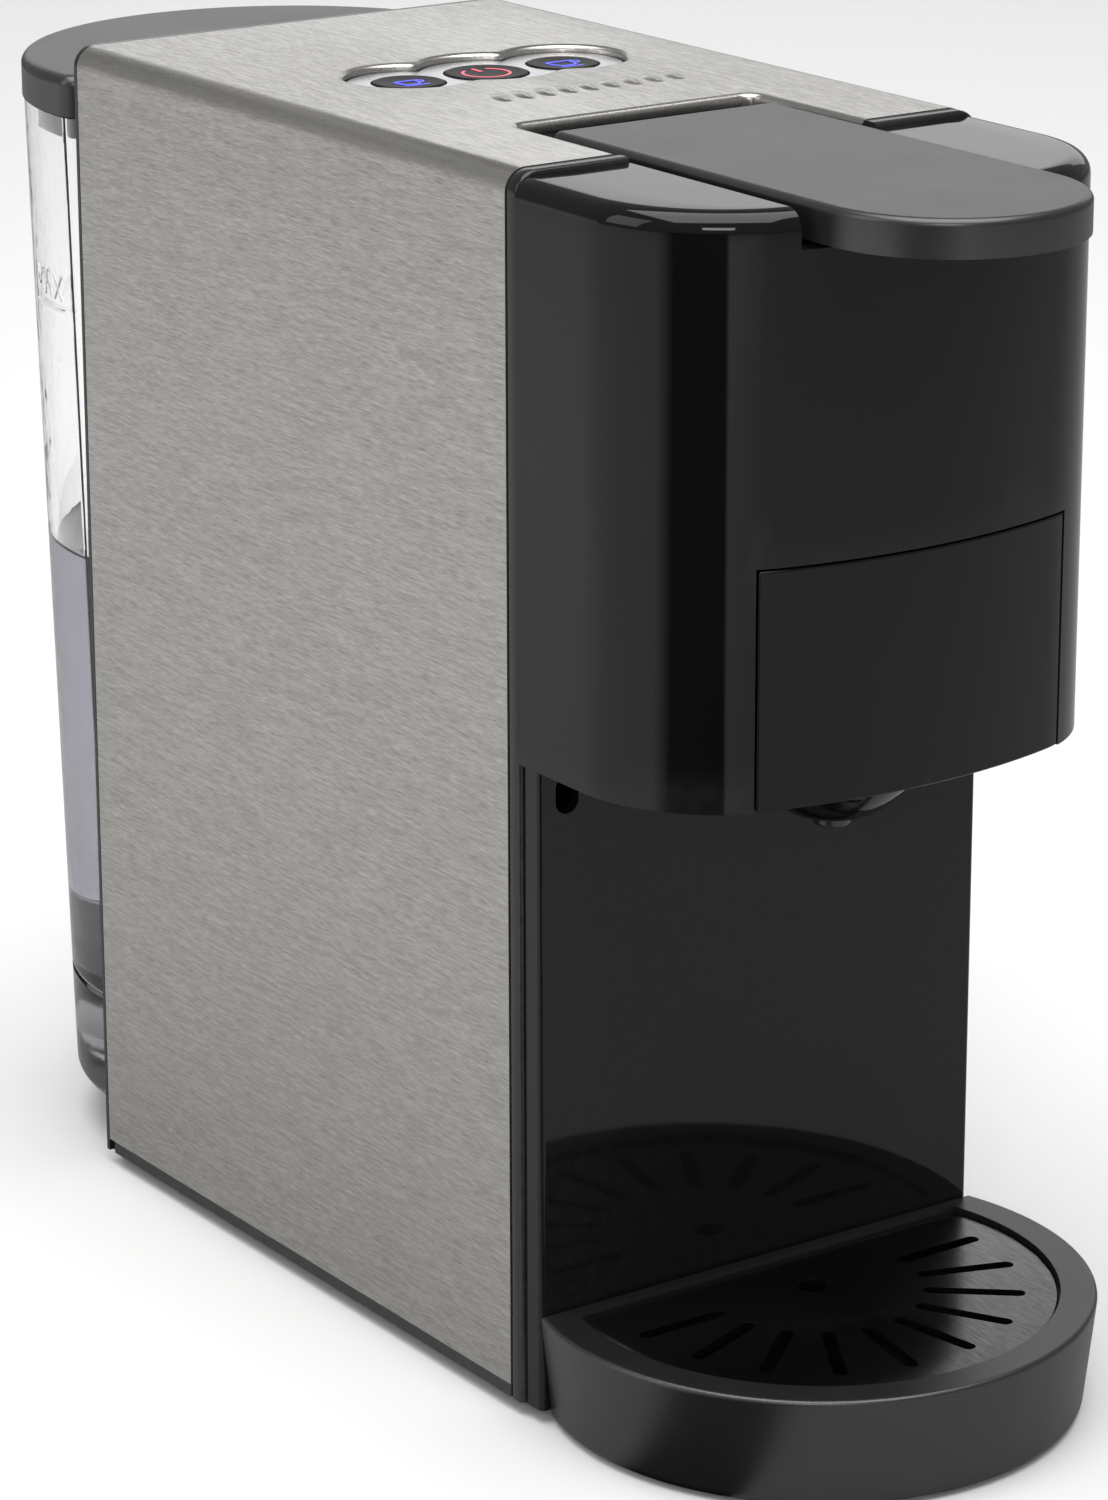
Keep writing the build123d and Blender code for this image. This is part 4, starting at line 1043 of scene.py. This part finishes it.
class StageOperator(bpy.types.Operator):
    """Lay the pale floor, hang the soft lights and set the camera"""
    bl_idname = "coffee.stage"
    bl_label = "Stage"

    def execute(self, context):
        s = context.scene.coffee_stage
        self.floor(s)
        self.lights(s)
        self.camera(context.scene, s)
        return {"FINISHED"}

    def floor_material(self, s):
        """Pale where it is seen, straight or through clear plastic; all other rays meet a greyer floor.

        That grey floor is painted reflection and painted shade: it sets what the shiny parts mirror,
        lighter further out along -X, and it dims the light bounced off the floor. A black flag lies on the
        grey one, in a wedge between two bearings from a point under the nose: a painted reflection of a
        dark band."""
        mat, tree, shader = blank("Pale floor", Roughness=0.9, Specular_IOR_Level=0.1)
        pale = blend(tree, noise(tree, 3.0), rgba(s.floor_colour), rgba(s.floor_colour, 0.985))
        feed(tree, shader, Base_Color=pale)
        x, y, _ = wire(tree, "ShaderNodeSeparateXYZ", {0: object_point(tree)}).outputs
        # Painted reflection: a black wedge that only reflections and bounced light meet.
        bearing = calc(tree, "ARCTAN2", calc(tree, "ADD", y, 0.093), calc(tree, "ADD", x, 0.0245))
        flag = calc(tree, "SUBTRACT", remap(tree, bearing, radians(-170), radians(-158)),
                    remap(tree, bearing, radians(-122), radians(-119.5)), clamp=True)
        # Painted reflection: the grey that reflections meet, lighter further out along -X.
        painted_reflection_tone = blend(tree, remap(tree, x, -0.07, -0.50), (0.42, 0.42, 0.42, 1), (0.60, 0.60, 0.60, 1))
        grey = wire(tree, "ShaderNodeBsdfPrincipled", {"Roughness": 0.9, "Specular IOR Level": 0.0})
        feed(tree, grey, Base_Color=blend(tree, flag, painted_reflection_tone, (0.02, 0.02, 0.02, 1)))
        path = tree.nodes.new("ShaderNodeLightPath").outputs
        seen = calc(tree, "MAXIMUM", path["Is Camera Ray"], path["Is Transmission Ray"])
        mix = wire(tree, "ShaderNodeMixShader", {0: seen, 1: grey.outputs[0], 2: shader.outputs[0]})
        tree.links.new(mix.outputs[0], tree.nodes["Material Output"].inputs["Surface"])
        return mat

    def floor(self, s):
        half, count, below = 6, 13, 0.00005
        x, y = np.meshgrid(np.linspace(-half, half, count), np.linspace(-half, half, count))
        me = bpy.data.meshes.new("floor")
        me.from_pydata(np.stack([x, y, 0 * x - below], axis=-1).reshape(-1, 3).tolist(), [],
                       grid_faces(count, count))
        me.materials.append(self.floor_material(s))
        placed("floor", me)

    def lights(self, s):
        world = bpy.data.worlds.new("Even room light")
        world.use_nodes = True
        back = world.node_tree.nodes["Background"]
        back.inputs["Color"].default_value = (1, 1, 1, 1)
        back.inputs["Strength"].default_value = s.sky
        bpy.context.scene.world = world
        bpy.context.scene.view_settings.view_transform = "Standard"
        for name, spot, aim, size, power in (
                ("Overhead softbox", (-0.2, -0.3, 2.4), (0, 0, 0), (2.6, 2.6), 74),
                ("Rear softbox", (1.35, 1.75, 0.85), (0, 0, 0.2), (2.4, 0.75), 4.6),
                ("Rear left softbox", (-1.15, 1.3, 0.12), (0, 0, 0.13), (0.9, 0.22), 0.25),
                ("Front left softbox", (-1.1, -1.5, 0.9), (0, -0.1, 0.15), (0.7, 0.4), 6.0),
                ("Left softbox", (-2.2, 0.6, 1.2), (0, 0, 0.1), (1.2, 1.6), 9)):
            lamp = bpy.data.lights.new(name, "AREA")
            lamp.shape, lamp.size, lamp.size_y, lamp.energy = "RECTANGLE", size[0], size[1], power
            obj = placed(name, lamp)
            obj.location = spot
            obj.rotation_euler = (Vector(aim) - Vector(spot)).to_track_quat("-Z", "Y").to_euler()

    def camera(self, scene, s):
        """Aim: yaw and pitch give the view direction; roll turns the frame about it."""
        spot = (-0.58126, -0.83956, 0.43843)
        yaw, pitch, roll = radians(34.8105), radians(17.7662), radians(-0.1333)
        ahead = Vector((sin(yaw) * cos(pitch), cos(yaw) * cos(pitch), -sin(pitch)))
        right = Vector((cos(yaw), -sin(yaw), 0))
        up = right.cross(ahead)
        x = right * cos(roll) + up * sin(roll)
        y = up * cos(roll) - right * sin(roll)
        lens = bpy.data.cameras.new("Camera")
        lens.lens, lens.sensor_width, lens.clip_start = s.lens, 36.0, 0.05
        scene.camera = placed("Camera", lens)
        scene.camera.matrix_world = Matrix.Translation(spot) @ Matrix((x, y, -ahead)).transposed().to_4x4()


class CoffeePanel(bpy.types.Panel):
    """Sizes and colours of the machine, and a button for each operator"""
    bl_idname = "VIEW3D_PT_coffee_machine"
    bl_label = "Coffee Machine"
    bl_space_type = "VIEW_3D"
    bl_region_type = "UI"
    bl_category = "Coffee Machine"

    def draw(self, context):
        for key, group_class in SETTINGS.items():
            box = self.layout.box()
            for field in group_class.__annotations__:
                box.prop(getattr(context.scene, key), field)
        for operator in OPERATORS:
            self.layout.operator(operator.bl_idname)


SETTINGS = {"coffee_cover": CoverSettings, "coffee_housing": HousingSettings,
            "coffee_buttons": ButtonSettings, "coffee_tank": TankSettings,
            "coffee_grid": GridSettings, "coffee_stage": StageSettings}
OPERATORS = (StageOperator, FinishOperator, CoverOperator, EmblemOperator, HousingOperator, SpoutOperator,
             ButtonOperator, GridOperator, TankOperator)


def register():
    for key, group_class in SETTINGS.items():
        bpy.utils.register_class(group_class)
        setattr(bpy.types.Scene, key, PointerProperty(type=group_class))
    for operator in OPERATORS:
        bpy.utils.register_class(operator)
    bpy.utils.register_class(CoffeePanel)


def unregister():
    bpy.utils.unregister_class(CoffeePanel)
    for operator in reversed(OPERATORS):
        bpy.utils.unregister_class(operator)
    for key, group_class in SETTINGS.items():
        delattr(bpy.types.Scene, key)
        bpy.utils.unregister_class(group_class)


def main():
    register()
    bpy.ops.coffee.stage()
    bpy.ops.coffee.finishes()
    bpy.ops.coffee.steel_cover()
    bpy.ops.coffee.emblem()
    bpy.ops.coffee.front_housing()
    bpy.ops.coffee.spout()
    bpy.ops.coffee.buttons()
    bpy.ops.coffee.drip_grid()
    bpy.ops.coffee.tank()


if __name__ == "__main__":
    main()
